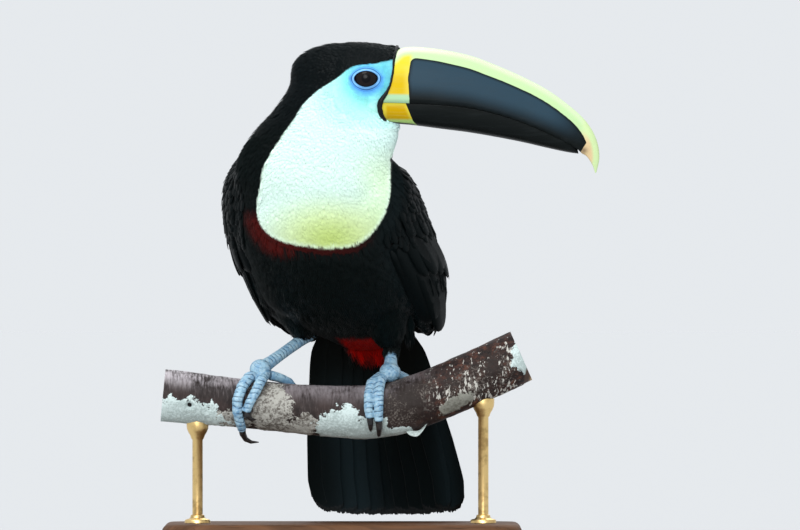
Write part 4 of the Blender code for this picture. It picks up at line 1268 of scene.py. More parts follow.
from_middle = skin_centres - body_middle(z)
out_side, out_back = from_middle @ OUTWARD, from_middle @ BACKWARD
angle = np.degrees(np.arctan2(out_back, np.abs(out_side)))
front_edge, back_edge = wing_edges(z)
on_wing = (angle > front_edge - 2) & (angle < back_edge - 6) & (z < 229) & (z > 118)
on_wing &= (np.abs(out_side) > 18 * MM) & (in_bib < -5)
body = black_part & (z <= HEAD_FOOT) & ~on_wing
body_length = np.interp(z, [110, 150, 200, 243], [9.0, 13.5, 11.5, 6.5])
off_cuff = np.linalg.norm(skin_centres / MM - np.array(RIGHT_CUFF), axis=1)
body_length = body_length * (0.4 + 0.6 * rise(off_cuff, 8, 18))
body &= off_cuff > 5.0
body_wide = np.interp(z, [110, 150, 200, 243], [1.7, 2.4, 2.1, 1.1])
body_gap = np.interp(z, [110, 150, 200, 243], [1.65, 2.1, 1.8, 1.15])
behind = out_back > 0
for part, chosen, seed in (
    ("neck", body & (z > BIB_SPLIT), 41),
    ("breast", body & (z <= BIB_SPLIT) & (z > BELLY_TOP) & ~behind, 42),
    ("belly", body & (z <= BELLY_TOP) & ~behind, 43),
    ("mantle", body & (z <= BIB_SPLIT) & behind, 44),
):
    cover("coat_" + part, chosen, PLUME, body_gap, body_length, body_wide, seed)

# ---- Wings: the folded wing's own feathers, a layer of small ones over four rows of longer ones ----
# Broad stiff blades, each raised along its middle. The rows lie like roof tiles from the bend of the wing to
# its tip, and every blade is carried on the body's side by the skin under it.


def blade(rows, ridge):
    """A closed feather blade: rows of (along, half width), a raised middle line and a pointed tip."""
    points, faces = [], []
    for along, half in rows[:-1]:
        points += [(along, -half, 0.0), (along, 0.0, ridge * half**0.5), (along, half, 0.0)]
    points.append((rows[-1][0], 0.0, 0.0))
    tip = len(points) - 1
    for k in range(0, tip - 3, 3):
        left, middle, right = k, k + 1, k + 2
        for near, far in ((left, middle), (middle, right), (right, left)):
            faces += [(near, far, far + 3), (near, far + 3, near + 3)]
    left, middle, right = tip - 3, tip - 2, tip - 1
    faces += [(left, middle, tip), (middle, right, tip), (right, left, tip), (2, 1, 0)]
    return np.array(points), np.array(faces), np.zeros(len(points), int), np.array([(0.8, 0.0)])


VANE_OUTLINE = [(0.0, 0.22), (0.12, 0.6), (0.3, 0.9), (0.45, 0.98), (0.6, 1.0), (0.72, 0.98), (0.83, 0.9)]
VANE_OUTLINE += [(0.9, 0.76), (0.95, 0.58), (0.98, 0.38), (1.0, 0.0)]
VANE = blade(VANE_OUTLINE, 0.085)
SCALE_VANE = blade([(0.0, 0.3), (0.3, 0.85), (0.62, 1.0), (0.82, 0.84), (0.93, 0.55), (1.0, 0.0)], 0.12)

# Root height, number, first and last share across the wing, then length and how much shorter the inner ones
# are, half width, and the heights of root and tip over the skin, in millimetres.
WING_ROWS = [
    ("primaries", 172.0, 8, 0.05, 0.42, 66.0, 5.0, 6.4, 0.1, 0.7),
    ("secondaries", 166.0, 8, 0.38, 0.88, 50.0, 14.0, 7.6, 0.3, 1.5),
    ("greater", 188.0, 12, 0.06, 0.92, 38.0, 5.0, 6.4, 0.7, 1.9),
    ("median", 201.0, 13, 0.06, 0.94, 24.0, 5.0, 5.2, 1.0, 2.4),
]
LEFT_WING_FULLER = 3.0  # how far the left wing's long feathers stand out over the flank, in millimetres
VANE_STEPS = 9  # rows of places along a long feather
BEND_FOOT, DOWN_TOP = 186, 190  # the small feathers end and the down begins at these heights, in millimetres

flight, shader, place = new_finish("flight_plumage", roughness=0.42, Specular_IOR_Level=0.07)
fleck = grain(place, 700.0, 3.0, 0.5)
feed(shader, "Base Color", kept(place, "marking", "Color"))
feed(shader, "Roughness", 0.44 + fleck * 0.2)
relief(shader, fleck * 0.6, 0.5, 0.1 * MM)


def wing_tone(spots):
    """The wing's own colour: black, a little greyer towards the tips of the long feathers."""
    return coloured(len(spots), "050b0c", (0.5 * rise(spots[:, 2], 150 * MM, 128 * MM), "0a1112"))


def wing_places(sign, heights, angles):
    """Places on the skin over the wing, at these heights and angles back from straight out to the side."""
    middles = body_middle(heights)
    turned = np.radians(angles)
    ways = np.outer(np.cos(turned), OUTWARD * sign) + np.outer(np.sin(turned), BACKWARD)
    found = []
    for middle, way in zip(middles, ways):
        hit = skin_tree.ray_cast(Vector(middle + way * 90 * MM), Vector(-way))[0]
        found.append(hit if hit else middle + way * 50 * MM)
    return np.array(found)


def eased(rows, rounds):
    """The rows along each track, smoothed from one to the next with the ends kept."""
    for _ in range(rounds):
        rows[:, 1:-1] = (rows[:, :-2] + 2 * rows[:, 1:-1] + rows[:, 2:]) / 4
    return rows


def wing_track(sign, heights, angles, lengths):
    """Long feathers from their roots down the wing towards its tip, lying on the outer surface."""
    middles = sum(wing_edges(heights)) / 2
    track = [wing_places(sign, heights, angles)]
    ahead = wing_places(sign, heights - 8, middles + (angles - middles) * 0.95)
    heading = unit(ahead - track[0])
    for _ in range(VANE_STEPS - 1):
        wanted = track[-1] + heading * (lengths / (VANE_STEPS - 1))[:, None]
        low = wanted[:, 2] / MM
        squeeze = np.interp(low, [123, 135, 160, 231], [0.35, 0.6, 0.9, 1.0])
        found = wing_places(sign, low, middles + (angles - middles) * squeeze)
        near = 1 - rise(np.linalg.norm(found - wanted, axis=1), 2 * MM, 6 * MM)
        track.append(wanted + (found - wanted) * 0.6 * near[:, None])
        heading = unit(0.5 * heading + 0.5 * unit(track[-1] - track[-2]))
    track = eased(np.stack(track, 1), 6)
    height = track[:, :, 2] / MM
    fuller = LEFT_WING_FULLER * (sign > 0) * rise(height, 122, 146) * rise(height, 186, 162)
    track = track + fuller[:, :, None] * MM * OUTWARD
    ways = np.gradient(track, axis=1)
    ways /= np.linalg.norm(ways, axis=2)[:, :, None]
    outs = eased(on_skin(track.reshape(-1, 3))[1].reshape(track.shape), 12)
    outs = 0.35 * outs + 0.65 * outs.mean(1)[:, None]
    outs -= (outs * ways).sum(2)[:, :, None] * ways
    outs /= np.linalg.norm(outs, axis=2)[:, :, None]
    rows = [(track[:, k], outs[:, k], ways[:, k]) for k in range(VANE_STEPS)]
    return rows, on_skin(track[:, 0])[2]


wing_manner = {"soft": 0.3, "colour_of": wing_tone}
for side, sign in (("right", -1), ("left", 1)):
    rng = np.random.default_rng(60 + sign)
    this_wing = on_wing & (out_side * sign > 0)
    roots = scatter(this_wing & (z > BEND_FOOT), 2.5 * MM, 61 + sign)
    length = np.interp(roots[:, 2] / MM, [BEND_FOOT, 230], [12.5, 7.0]) * MM
    sizes = (length, 2.5 * MM, (0.6 * MM, 2.7 * MM))
    lay_coat(f"wing_{side}_lesser", flight, roots, SCALE_VANE, *sizes, 65, loose=0.8, **wing_manner)
    for k, (name, height, count, first, last, long, shorter, half, low, high) in enumerate(WING_ROWS):
        share = np.linspace(first, last, count) + rng.normal(0, 0.006, count)
        heights = height + rng.normal(0, 0.8, count) - 6.0 * (share - 0.5)
        front_edge, back_edge = wing_edges(heights)
        angles = front_edge + (back_edge - front_edge) * share
        clear = into_bib(wing_places(sign, heights, angles)) < -4
        heights, angles = heights[clear], angles[clear]
        roots, count = wing_places(sign, heights, angles), len(heights)
        order = np.arange(count) / count
        lengths = (long - shorter * order) * MM * rng.uniform(0.96, 1.04, count)
        sizes = (lengths, half * MM, ((low + 0.5 * order) * MM, (high + 0.9 * order) * MM))
        way = {"track": wing_track(sign, heights, angles, lengths), "tilt": 3.0 * sign}
        lay_coat(f"wing_{side}_{name}", flight, roots, VANE, *sizes, 66 + k, loose=0.12, **way, **wing_manner)
    down_part = this_wing & (z <= DOWN_TOP)
    cover(f"wing_{side}_down", down_part, PLUME, 3.0, 9.0, 2.8, 70 + sign, high=0.16, loose=0.4)

# ---- Flank: long loose feathers that close the gap between the left thigh and the folded wing's tip ----
# Each is a soft plume from the side of the body, hanging straight down over the tail's root.

FLANK_ROOTS = (33.5, 16.0, 146.0)  # their middle, in millimetres
FLANK_SPREAD = (5.0, 9.0, 6.0)

rng = np.random.default_rng(68)
spread = rng.uniform(-1, 1, (40, 3)) * np.array(FLANK_SPREAD)
roots, outward, _ = on_skin((np.array(FLANK_ROOTS) + spread) * MM)
heading = unit(np.tile([0.0, 0.16, -1.0], (len(roots), 1)) + 0.1 * outward)
sizes = (rng.uniform(13, 17, len(roots)) * MM, 2.7 * MM, (0.0, 1.6 * MM))
lay_coat("coat_flank_left", plumage, roots, PLUME, *sizes, 69, heading=heading, outward=outward)

# ---- Tail: ten long black feathers in a narrow fan, their ends level, the outermost nearest the chest ----
# Stiff thin blades, each with a shaft and a slightly frayed end. Short soft coverts close the tail's root,
# red below and golden above.

TAIL_HALF_WIDTHS = [(0, 27.5), (18, 34), (52, 38.4), (86, 42.8), (117, 45.4), (150, 44.6)]  # by distance down
TAIL_LENGTH = 145.1
TAIL_PAIRS = 5
RECTRIX_HALF_WIDTH = 9.6
RECTRIX_HALF_THICK, SHAFT_HALF_THICK = 0.13, 0.22
COVERTS = (("undertail", -1.0, 150, 13), ("uppertail", 1.0, 170, 17))  # which side, number, half spread
COVERT_TOP, COVERT_END = -14, 17  # where their roots begin and end down the tail
RECTRIX_ACROSS, RECTRIX_ALONG = 40, 64

rectrix_finish, shader, place = new_finish("tail_feather", roughness=0.4, Specular_IOR_Level=0.12)
fleck = grain(place, 600.0, 3.0, 0.5)
# The blue-grey over the black is a painted sheen.
feed(shader, "Base Color", blend(kept(place, "painted_sheen"), paint("050b0b"), paint("24343a")))
feed(shader, "Roughness", 0.38 + fleck * 0.2)
relief(shader, fleck * 0.6, 0.5, 0.1 * MM)


def in_tail(down, across, raised):
    """Places in the tail's own frame, given in millimetres down it, across it and over it."""
    parts = (np.outer(n, way) for n, way in zip((down, across, raised), (TAIL_DOWN, TAIL_SIDE, TAIL_UPPER)))
    return TAIL_ROOT + sum(parts) * MM


def off_middle(down, pair, side, fuller=0.0):
    """How far from the tail's middle this feather's own middle lies, at each distance down it."""
    outer = read_table(TAIL_HALF_WIDTHS, down) - RECTRIX_HALF_WIDTH + fuller
    return side * outer * (pair + 0.5) / (TAIL_PAIRS - 0.5)


def rectrix(pair, side):
    """One tail feather as a closed thin blade."""
    rng = np.random.default_rng(700 + 2 * pair + (side > 0))
    seed, twist = rng.uniform(0, 50), rng.normal(0, 0.012)
    long = TAIL_LENGTH - 0.16 * pair**2 + rng.uniform(-0.5, 0.5)
    level = 0.85 - 0.44 * pair + 0.2 * (side > 0)

    def ripple(across, pitch, row):
        return np.array([mathutils_noise.noise(Vector((a * pitch, seed, row))) for a in across])

    def shape_of(u, v):
        t = np.clip(1 - np.abs(2 * v - 1), 0, 1)
        across = 2 * u - 1
        blunt = 4.6 * np.abs(across) ** 2.4 + 1.9 * np.abs(ripple(across, 9, 0))
        blunt += 2.6 * np.maximum(ripple(across, 37, 5), 0)
        blunt += max(pair - 2, 0) * 3.6 * np.clip(side * across, 0, 1) ** 3
        down = t * (long - blunt)
        middle = off_middle(down, pair, side, 1.8 * (side > 0) * rise(down, 60, 125))
        half = RECTRIX_HALF_WIDTH * (0.8 + 0.2 * rise(t, 0.0, 0.25)) * (1 - 0.06 * rise(t, 0.9, 1.0))
        off = across * half
        rim = np.sqrt(np.clip(1 - across**8, 0, 1)) * np.clip((1 - t) * 90, 0, 1) ** 0.5
        shaft = SHAFT_HALF_THICK * np.exp(-((off / 0.6) ** 2)) * (1 - 0.75 * t)
        thick = (RECTRIX_HALF_THICK + shaft) * rim
        share = (middle + off) / 45.0
        bowed = level - 2.0 * rise(t, 0.5, 1.05) + 0.55 * (1 - across**2) - 2.4 * share**2 + twist * off * t
        return in_tail(down - 3.0 * share**2, middle + off, bowed + np.where(v > 0.5, -thick, thick))

    mesh = grid_mesh(RECTRIX_ACROSS, RECTRIX_ALONG, shape_of, 0.004 * MM)
    spots = places(mesh) - TAIL_ROOT
    down, across = spots @ TAIL_DOWN / MM, spots @ TAIL_SIDE / MM
    outer_vane = rise((across - off_middle(down, pair, side)) * side, -1.0, 1.5)
    # Painted sheen: a broad band on one side of the fan and a narrow one on the other, growing towards the
    # tail's end and mostly on the underside.
    lit = hump(across, -18, 13) + 0.35 * hump(across, 36, 6)
    below = rise(directions(mesh) @ TAIL_UPPER, 0.3, -0.3)
    keep(mesh, "painted_sheen", (0.1 + (0.62 + 0.3 * outer_vane) * lit) * rise(down, 20, 90) * (0.2 + 0.8 * below))
    return mesh


tail_mesh = finished_mesh(bmesh_of(*(rectrix(pair, side) for pair in range(TAIL_PAIRS) for side in (-1, 1))))
tail_mesh.shade_smooth()
tail = new_piece("tail_feathers", tail_mesh, rectrix_finish, ["tail"])
unwrap(tail)

rng = np.random.default_rng(77)
for name, over_side, count, reach in COVERTS:
    down = rng.uniform(COVERT_TOP, COVERT_END, count)
    ends = (down, [COVERT_TOP, COVERT_END])
    across = rng.uniform(-1, 1, count) * np.interp(*ends, [reach, 0.7 * reach])
    raised = over_side * np.interp(down, [COVERT_TOP, 0, COVERT_END], [6.5, 3.6, 1.6])
    dip = np.interp(*ends, [0.16, 0.02])
    drift = 0.012 * across[:, None] * TAIL_SIDE
    heading = unit(TAIL_DOWN[None] - over_side * dip[:, None] * TAIL_UPPER + drift)
    outward = unit(over_side * TAIL_UPPER[None] + 0.02 * across[:, None] * TAIL_SIDE)
    sizes = (np.interp(*ends, [12, 16]) * MM, 3.0 * MM, (0.0, 0.9 * MM))
    roots = in_tail(down, across, raised)
    lay_coat("coat_" + name, plumage, roots, PLUME, *sizes, 78, heading=heading, outward=outward)

# ---- Bill: a huge light horn bill in two halves, arched along its ridge and hooked over at its tip ----
# Glossy horn, black on its sides, with a pale ridge and a yellow patch at each half's base.
# Its sections are arches from one cutting edge to the other, and the upper half's edges lap over the lower's.

CULMEN = [  # x and height in the plane of the head, in millimetres
    (27.0, 286.0), (35.5, 291.9), (52.0, 291.6), (73.0, 287.7), (89.0, 281.9), (105.0, 274.9),
    (120.0, 266.9), (134.6, 256.0), (142.8, 247.4), (147.6, 238.2), (149.1, 228.6), (147.4, 219.8),
]
GAPE = [
    (17.0, 260.0), (28.0, 260.2), (57.4, 259.0), (74.0, 257.2), (89.0, 253.8), (104.0, 249.0),
    (119.5, 242.4), (132.0, 236.0), (138.5, 231.6), (142.6, 228.2), (145.2, 224.2), (146.6, 219.6),
]
KEEL = [
    (20.0, 249.6), (29.0, 248.2), (42.0, 247.0), (57.4, 245.0), (73.0, 243.0), (88.5, 240.4),
    (104.0, 237.4), (119.6, 233.8), (130.0, 231.6), (137.0, 230.6),
]
BILL_HALF_WIDTHS = [17.0, 17.0, 16.4, 15.4, 14.4, 13.0, 11.4, 9.2, 7.2, 4.6, 2.6, 0.8]
BILL_TIP = (147, 224)  # x and height, near the hook's point
LOWER_END = (136.4, 233.4)  # where the lower half's cutting edge ends, short of the hook
BILL_FLATNESS = 1.45  # above 1 the arch is squarer than an ellipse
BILL_ROUND, BILL_ROWS = 150, 230
ARCH_SHARE = 0.8  # of the way round a section is its arch, and the rest is its flat inner face
RIDGE_BAND = [(30, 6.3), (50, 6.8), (62, 7.4), (78, 7.5), (105, 6.9), (130, 6.2), (150, 6.2)]  # x and width
BLACK_BASE_UPPER = [(262.7, 38.9), (274, 38.1), (285.3, 39.9), (292, 42)]  # height and x where black begins
BLACK_BASE_LOWER = [(244, 46), (247.5, 43), (249.4, 41), (260.2, 36.6)]
BLACK_END = [(228, 136.4), (232, 138.4), (237, 141.5), (243, 145), (250, 149)]  # height and x where it ends
BLACK_CORNER = 3.0  # radius of the corner between the black's base and the pale ridge
HEAD_MIDDLE = 269.0  # height of the middle of the bill's base


def bill_half(ridge, seam, widths, shift, upper):
    """One half of the bill, and what its finish reads: depth into the black, painted sheen and base colours.
    """
    ridge_line, seam_line = (smooth_curve(rows, BILL_ROWS) for rows in (ridge, seam))
    width_line = smooth_curve([(w,) for w in widths], BILL_ROWS)[:, 0]

    def shape_of(u, v):
        row = np.rint(v * (BILL_ROWS - 1)).astype(int)
        turn = math.pi * np.minimum(u / ARCH_SHARE, 1.0)
        inner = np.clip((u - ARCH_SHARE) / (1 - ARCH_SHARE), 0, 1)
        lift = np.sin(turn) ** (1 / BILL_FLATNESS) * (inner == 0)
        out = np.sign(np.cos(turn)) * np.abs(np.cos(turn)) ** (1 / BILL_FLATNESS)
        out = np.where(inner > 0, -1 + 2 * inner, out) * width_line[row]
        top, foot = ridge_line[row], seam_line[row] + np.array([0.0, shift])
        side_view = foot + (top - foot) * lift[:, None]
        teeth = np.sin(side_view[:, 0] * 1.25 + 0.6 * np.sin(side_view[:, 0] * 0.37))
        teeth = 0.22 * teeth * rise(side_view[:, 0], 44, 60) * rise(lift, 0.12, 0.0) * upper
        under_face = 1 - 0.2 * rise(rim_x(side_view[:, 1]) - side_view[:, 0], 0.2, 1.8)
        height = (side_view[:, 1] - HEAD_MIDDLE) * under_face + HEAD_MIDDLE + teeth
        return np.column_stack([side_view[:, 0] * 0.999, HEAD_Y / MM + out * under_face, height]) * MM

    mesh = grid_mesh(BILL_ROUND, BILL_ROWS - 1, shape_of, 0.003 * MM)
    x, y, z = places(mesh).T / MM
    ridge_x, ridge_z = smooth_curve(CULMEN, 400).T
    off_ridge = np.min(np.hypot(x[:, None] - ridge_x, z[:, None] - ridge_z), axis=1)
    start = read_table(BLACK_BASE_UPPER if upper else BLACK_BASE_LOWER, z)
    black = np.minimum(x - start, read_table(BLACK_END, z) - x)
    if upper:
        under_band = off_ridge - read_table(RIDGE_BAND, x)
        short = (np.maximum(BLACK_CORNER - inset, 0) for inset in (x - start, under_band))
        black = np.minimum(black, BLACK_CORNER - np.hypot(*short))
        stain = np.exp(-(((x - 139.8) / 2.2) ** 2) - ((z - 232.4) / 2.0) ** 2)
        tone = coloured(
            len(x),
            "a9c694",
            (rise(off_ridge, 4.2, 1.2) * (0.45 + 0.55 * rise(x, 70, 35)), "cfdfba"),
            (rise(off_ridge, 3.2, 6.4) * rise(x, 42, 38.5), "c6b82c"),
            (rise(z, 281, 272) * rise(x, 42, 38.5), "bfa008"),
            (rise(x, 34.5, 39) * rise(z, 284, 276) * rise(x, 44, 40) * 0.5, "cdc258"),
            (rise(z, 264.9, 264.2) * rise(x, 48, 43), "97bb96"),
            (rise(x, 137, 142), "bcd29c"),
            (rise(x, 133, 139) * rise(off_ridge, 2.8, 5.2) * rise(z, 246, 236), "cdb58c"),
            (0.8 * stain, "5b4638"),
        )
    else:
        off_rim = np.minimum(np.minimum(x - 24.5, start - x), 259.6 - z)
        tone = coloured(
            len(x),
            "b28e04",
            (rise(off_rim, 2.2, 0.2) * 0.75, "c2b83a"),
            (rise(z, 251.2, 249.4), "a6c674"),
            (rise(z - read_table(KEEL, x), 1.1, 0.6) * rise(x, 46, 40), "0a0b0c"),
        )
    keep(mesh, "black", black)
    # Painted sheen: the upper part of the black sides is painted blue-grey, a painted reflection, fading
    # towards the tip and the black's edge.
    middle = (read_table(CULMEN, x) + read_table(KEEL + [BILL_TIP], x)) / 2
    keep(mesh, "painted_sheen", rise(z - middle, -8, 3) * rise(x, 144, 118) * rise(black, 0, 2))
    keep_colour(mesh, tone)
    return mesh


horn, shader, place = new_finish("bill_horn", roughness=0.3, Specular_IOR_Level=0.05)
along_grain = grain(stretched(place, 60.0, 700.0, 500.0), 1.0, 4.0, 0.55)
fleck = grain(place, 900.0, 3.0, 0.5)
dirt = grain(place, 90.0, 5.0, 0.6)
# The black sides: near-black, a painted blue-grey sheen on their upper part, and faint pale grain streaks.
side_black_and_painted_sheen = blend(kept(place, "painted_sheen"), (0.0045, 0.006, 0.006), (0.02, 0.043, 0.063))
side_black_and_painted_sheen = blend(step(along_grain, 0.45, 0.75) * 0.12, side_black_and_painted_sheen, (0.025, 0.032, 0.034))
ridge_tone = kept(place, "marking", "Color")
ridge_tone = blend(step(along_grain, 0.45, 0.8) * 0.16, ridge_tone, (0.52, 0.5, 0.2))
ridge_tone = blend(step(dirt, 0.55, 0.8) * 0.18, ridge_tone, (0.4, 0.33, 0.15))
is_black = step(kept(place, "black") + (along_grain - 0.5) * 0.5, -0.12, 0.22)
feed(shader, "Base Color", blend(is_black, ridge_tone, side_black_and_painted_sheen))
feed(shader, "Roughness", 0.3 + fleck * 0.14 + step(dirt, 0.5, 0.8) * 0.12)
relief(shader, along_grain * 0.8 + fleck * 0.2, 0.35, 0.12 * MM)

upper_mesh = bill_half(CULMEN, GAPE, BILL_HALF_WIDTHS, -0.2, True)
lower_widths = [w - 0.6 for w in BILL_HALF_WIDTHS[:8]] + [4.0]
lower_mesh = bill_half(KEEL, GAPE[:8] + [LOWER_END], lower_widths, 0.1, False)
new_piece("bill_upper_horn", upper_mesh, horn, ["bill_upper"])
new_piece("bill_lower_horn", lower_mesh, horn, ["bill_lower"])

# ---- Bill's rim: a soft black bead round the bill's base, between the horn and the face ----
# It follows the edge of the face up both sides and over the ridge, thickest at the corner of the mouth.

RIM_POINTS, RIM_ROUND = 160, 12
RIM_MIDDLE = HEAD_MIDDLE * MM

base_trees = [skin_tree] + [BVHTree.FromBMesh(bmesh_of(mesh)) for mesh in (upper_mesh, lower_mesh)]
rim_centres, rim_radii = [], []
for turn in np.linspace(0, math.tau, RIM_POINTS, endpoint=False):
    for reach in np.arange(30.0, 4.0, -0.1) * MM:
        height = RIM_MIDDLE + reach * math.sin(turn)
        spot = Vector((float(rim_x(height / MM)) * MM, HEAD_Y + reach * math.cos(turn), height))
        hits = [tree.find_nearest(spot) for tree in base_trees[math.sin(turn) < -0.8 :]]
        if any((spot - hit[0]).dot(hit[1]) < 0 for hit in hits if hit[3] < 3 * MM):
            break
    rim_centres.append(spot + Vector((0, math.cos(turn), math.sin(turn))) * 0.25 * MM)
    rim_radii.append(read_table(RIM_LINE, height / MM, 2) * MM)
rim_centres, rim_radii = np.array(rim_centres), np.array(rim_radii)
for _ in range(3):
    rim_centres = (np.roll(rim_centres, 1, 0) + 2 * rim_centres + np.roll(rim_centres, -1, 0)) / 4
rim_along = unit(np.roll(rim_centres, -1, 0) - np.roll(rim_centres, 1, 0))
rim_out = unit(rim_centres - np.array([26 * MM, HEAD_Y, RIM_MIDDLE]))
rim_side = unit(np.cross(rim_along, rim_out))
rim_out = np.cross(rim_side, rim_along)


def rim_shape(u, v):
    """Places round the bead: u along it and v round it."""
    k = np.rint(u * RIM_POINTS).astype(int) % RIM_POINTS
    turn = math.tau * v
    ripple = 1 + 0.08 * np.sin(u * math.tau * 37) * np.sin(u * math.tau * 11)
    radius = (rim_radii[k] * ripple)[:, None]
    around = rim_out[k] * 0.7 * np.sin(turn)[:, None] + rim_side[k] * np.cos(turn)[:, None]
    return rim_centres[k] + around * radius


rim_mesh = grid_mesh(RIM_POINTS, RIM_ROUND, rim_shape, 0.002 * MM)
rim_finish, shader, place = new_finish("rim_skin", (0.004, 0.005, 0.006), 0.45, Specular_IOR_Level=0.15)
relief(shader, grain(place, 900.0, 3.0, 0.5), 0.4, 0.1 * MM)
new_piece("bill_rim", rim_mesh, rim_finish, None)

# ---- Eyes: two dark glossy balls set in the lids, each a brown-black iris round a wide pupil ----
# One closed ball each. The clear front is a coat of gloss over it.

EYE_FINE_ROUND, EYE_FINE_ROWS = 64, 32
PUPIL, IRIS = 2.7, 5.6  # radii in millimetres
BEHIND_IRIS = 9.0  # the distance kept for the back of the ball

gloss = {"Coat_Weight": 0.06, "Coat_Roughness": 0.02, "Specular_IOR_Level": 0.08}
eyeball, shader, place = new_finish("eyeball", roughness=0.25, **gloss)
off_axis = kept(place, "off_axis")
streaks = grain(place, 900.0, 4.0, 0.6)
iris_tone = blend(streaks, (0.004, 0.003, 0.0035), (0.013, 0.009, 0.0085))
tone = blend(step(off_axis, PUPIL - 0.25, PUPIL + 0.25), (0.002, 0.002, 0.003), iris_tone)
tone = blend(step(off_axis, IRIS - 0.5, IRIS + 0.3), tone, (0.004, 0.003, 0.004))
feed(shader, "Base Color", tone)
for name, side in (("eye_right", -1), ("eye_left", 1)):
    shape = bmesh.new()
    bmesh.ops.create_uvsphere(shape, u_segments=EYE_FINE_ROUND, v_segments=EYE_FINE_ROWS, radius=EYE_RADIUS)
    bmesh.ops.rotate(shape, verts=shape.verts, matrix=Matrix.Rotation(math.radians(90), 3, "X"))
    bmesh.ops.translate(shape, verts=shape.verts, vec=(EYE_X, HEAD_Y + side * EYE_OUT, EYE_HEIGHT))
    ball = finished_mesh(shape)
    ball.shade_smooth()
    x, y, z = places(ball).T
    off = np.hypot(x - EYE_X, z - EYE_HEIGHT) / MM
    keep(ball, "off_axis", np.where((y - HEAD_Y) * side > EYE_OUT, off, BEHIND_IRIS))
    new_piece(name + "ball", ball, eyeball, [name])

# ---- Legs and feet: blue scaly skin over two forward and two backward toes, one skin for each leg ----
# Broad scutes run down the front of the shank and along the top of each toe, with finer skin at the sides.

LEGS = {  # the joint over the branch and the ankle, in millimetres
    "right": ((-47.5, -1.0, 105.6), (-17.0, 32.0, 127.5)),
    "left": ((27.8, -1.0, 103.8), (30.0, 23.0, 141.0)),
}
TOES = ("inner_front", "outer_front", "outer_hind", "inner_hind")
LEG_VOXEL = 0.42 * MM
LEG_COVER = 0.22 * MM  # how far the skin stands outside the nodes
SCUTE_LONG = 2.7
SCUTE_HIGH = 0.2 * MM
SHANK_FRONT = np.array([[0.25, -1.0, 0.25]])  # the way the front of each shank faces
FOLD_LONG = 2.2  # from one crease over the joint to the next

scaly, shader, place = new_finish("scaly_skin", roughness=0.5, Specular_IOR_Level=0.35)
cloud = grain(place, 160.0, 4.0, 0.6)
# The grooves between the scutes and the creases over the joint are painted darker: painted shade over their
# shallow real dent. Elsewhere the same dark is mixed in at half strength as the skin's own tone.
gap = step(kept(place, "groove"), 0.2, 0.6).math("MAXIMUM", 0.5)
scale_tone = blend(step(cloud, 0.3, 0.7), (0.16, 0.37, 0.6), (0.38, 0.64, 0.8))
# Painted highlight: the scutes' crests are painted paler.
scale_tone = blend(kept(place, "crest") * 0.6, scale_tone, (0.66, 0.88, 0.95))
scurf = grain(place, 520.0, 4.0, 0.7)
scale_tone = blend(step(scurf, 0.52, 0.68) * 0.5, scale_tone, (0.6, 0.76, 0.86))
scale_tone = blend(step(scurf, 0.45, 0.3) * 0.45, scale_tone, (0.05, 0.14, 0.3))
feed(shader, "Base Color", blend(gap * 0.85, scale_tone, (0.008, 0.022, 0.05)))
feed(shader, "Roughness", 0.42 + cloud * 0.2)
relief(shader, kept(place, "sides") * 0.8 + cloud * 0.4, 0.6, 0.2 * MM)

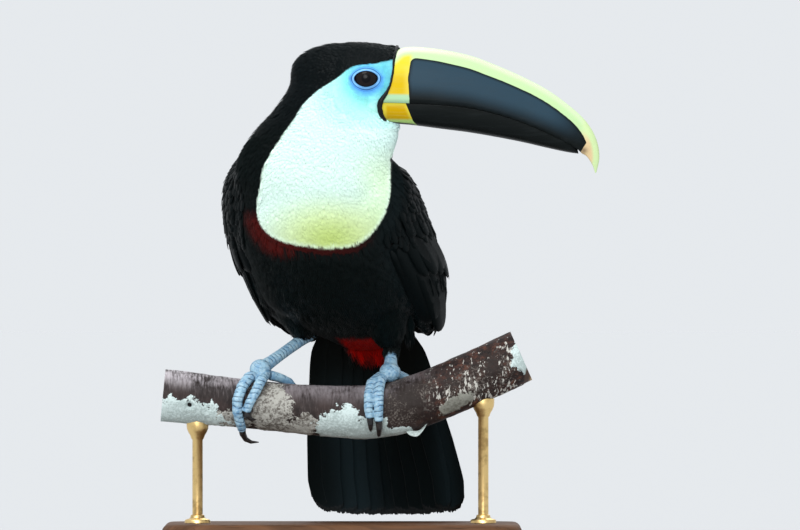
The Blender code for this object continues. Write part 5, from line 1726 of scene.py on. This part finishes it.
for side, (joint, ankle) in LEGS.items():
    nodes = [f"leg_{side}_foot", f"leg_{side}_shank"] + [f"toe_{side}_{toe}" for toe in TOES]
    shape = bmesh.new()
    for node in nodes:
        merged(shape, node, LEG_COVER)
    leg_mesh = remeshed(shape, LEG_VOXEL, 5)
    spots, outward = places(leg_mesh), directions(leg_mesh)
    joint, ankle = np.array(joint) * MM, np.array(ankle) * MM
    shank = (ankle - joint) / np.linalg.norm(ankle - joint)
    up_shank = (spots - joint) @ shank / MM
    angle, off_axis, radius = round_branch(spots)
    clear = (off_axis - radius) / MM
    round_bark = np.radians((angle + 180) % 360 - 180) * (radius / MM + 3)
    off_shank = np.linalg.norm(spots - joint - ((spots - joint) @ shank)[:, None] * shank, axis=1) / MM
    off_joint = np.linalg.norm(spots - joint, axis=1) / MM
    on_shank = rise(up_shank, 4.5, 6.5) * rise(off_shank, 8, 6)

    # Scutes, one after another up the shank and round the branch along the toes.
    along = np.where(on_shank > 0.5, up_shank, round_bark + 0.5 * np.sign(round_bark))
    along = along + 0.8 * noise_at(spots, 6 * MM, 4.0) + 0.45 * noise_at(spots, 2.2 * MM, 14.0)
    phase = along / SCUTE_LONG % 1.0
    facing = outward @ unit(SHANK_FRONT)[0]
    top = np.where(on_shank > 0.5, rise(facing, -0.1, 0.45), rise(clear, 3.0, 4.4))
    groove = np.maximum(hump(phase, 0, 0.1), hump(1 - phase, 0, 0.1)) * top
    groove = groove * rise(noise_at(spots, 3.5 * MM, 21.0), -0.5, 0.0) * rise(off_joint, 6.2, 8.0)
    crest = (1 - (2 * phase - 1) ** 2) * top

    # Creases that cross the joint over the branch.
    slant = spots[:, 2] / MM + 0.35 * spots[:, 0] / MM + 1.3 * noise_at(spots, 5 * MM, 31.0)
    fold = slant / FOLD_LONG % 1.0
    creases = hump(np.minimum(fold, 1 - fold), 0, 0.09) * rise(off_joint, 8.4, 6.6)
    groove = np.maximum(groove, 0.85 * creases * rise(noise_at(spots, 3 * MM, 33.0), -0.3, 0.15))

    pebbly = noise_at(spots, 1.3 * MM, 9.0)
    lift = (crest * 0.9 - groove * 0.6 + 0.35 * pebbly * (1 - top)) * SCUTE_HIGH
    move_to(leg_mesh, spots + outward * lift[:, None])
    # The grooves carry the painted shade and the crests the painted highlight.
    keep(leg_mesh, "groove", groove)
    keep(leg_mesh, "crest", crest * rise(pebbly, -0.5, 0.5))
    keep(leg_mesh, "sides", 1 - top)
    leg_mesh.shade_smooth()
    new_piece(f"leg_{side}_skin", leg_mesh, scaly, nodes)

# Cuffs: three rings of short feathers where each leg comes out of the plumage.
CUFF_RINGS = ((0.9, 4.2), (0.55, 4.0), (0.15, 3.7))  # share of the way up the cuff, distance from its middle
roots, heading, outward, lengths = [], [], [], []
for side, middle, above, length in (("left", CUFFS["left"], 8.0, 9.5), ("right", LEGS["right"][1], 2.0, 5.5)):
    joint, ankle = (np.array(end) for end in LEGS[side])
    shank = unit((joint - ankle)[None])[0]
    across = unit(np.cross(shank, [0.0, 1.0, 0.0])[None])[0]
    for share, reach in CUFF_RINGS:
        for turn in np.linspace(0, math.tau, 26, endpoint=False) + share:
            out = across * math.cos(turn) + np.cross(shank, across) * math.sin(turn)
            roots.append((np.array(middle) - shank * above * share + out * reach) * MM)
            heading.append(shank)
            outward.append(out)
            lengths.append(length * MM)
roots, heading, outward, lengths = (np.array(column) for column in (roots, heading, outward, lengths))
sizes = (lengths, 1.5 * MM, (0.0, 0.7 * MM))
lay_coat("coat_leg_cuffs", plumage, roots, PLUME, *sizes, 91, heading=heading, outward=outward)

# ---- Claws: eight curved black horn claws, each its own piece at the end of its toe ----
# Smooth black horn with faint brown streaks.

CLAW_VOXEL = 0.2 * MM
CLAW_COVER = 0.12 * MM  # how far the horn stands outside the nodes
claw_horn, shader, place = new_finish("claw_horn", roughness=0.3, Specular_IOR_Level=0.4)
streaks = grain(stretched(place, 400.0, 400.0, 1200.0), 1.0, 3.0, 0.6)
feed(shader, "Base Color", blend(step(streaks, 0.4, 0.75), (0.008, 0.008, 0.009), (0.035, 0.028, 0.024)))
feed(shader, "Roughness", 0.24 + streaks * 0.2)
for side in LEGS:
    for toe in TOES:
        node = f"claw_{side}_{toe}"
        shape = bmesh.new()
        merged(shape, node, CLAW_COVER)
        claw_mesh = remeshed(shape, CLAW_VOXEL, 6)
        claw_mesh.shade_smooth()
        new_piece(node + "_horn", claw_mesh, claw_horn, [node])
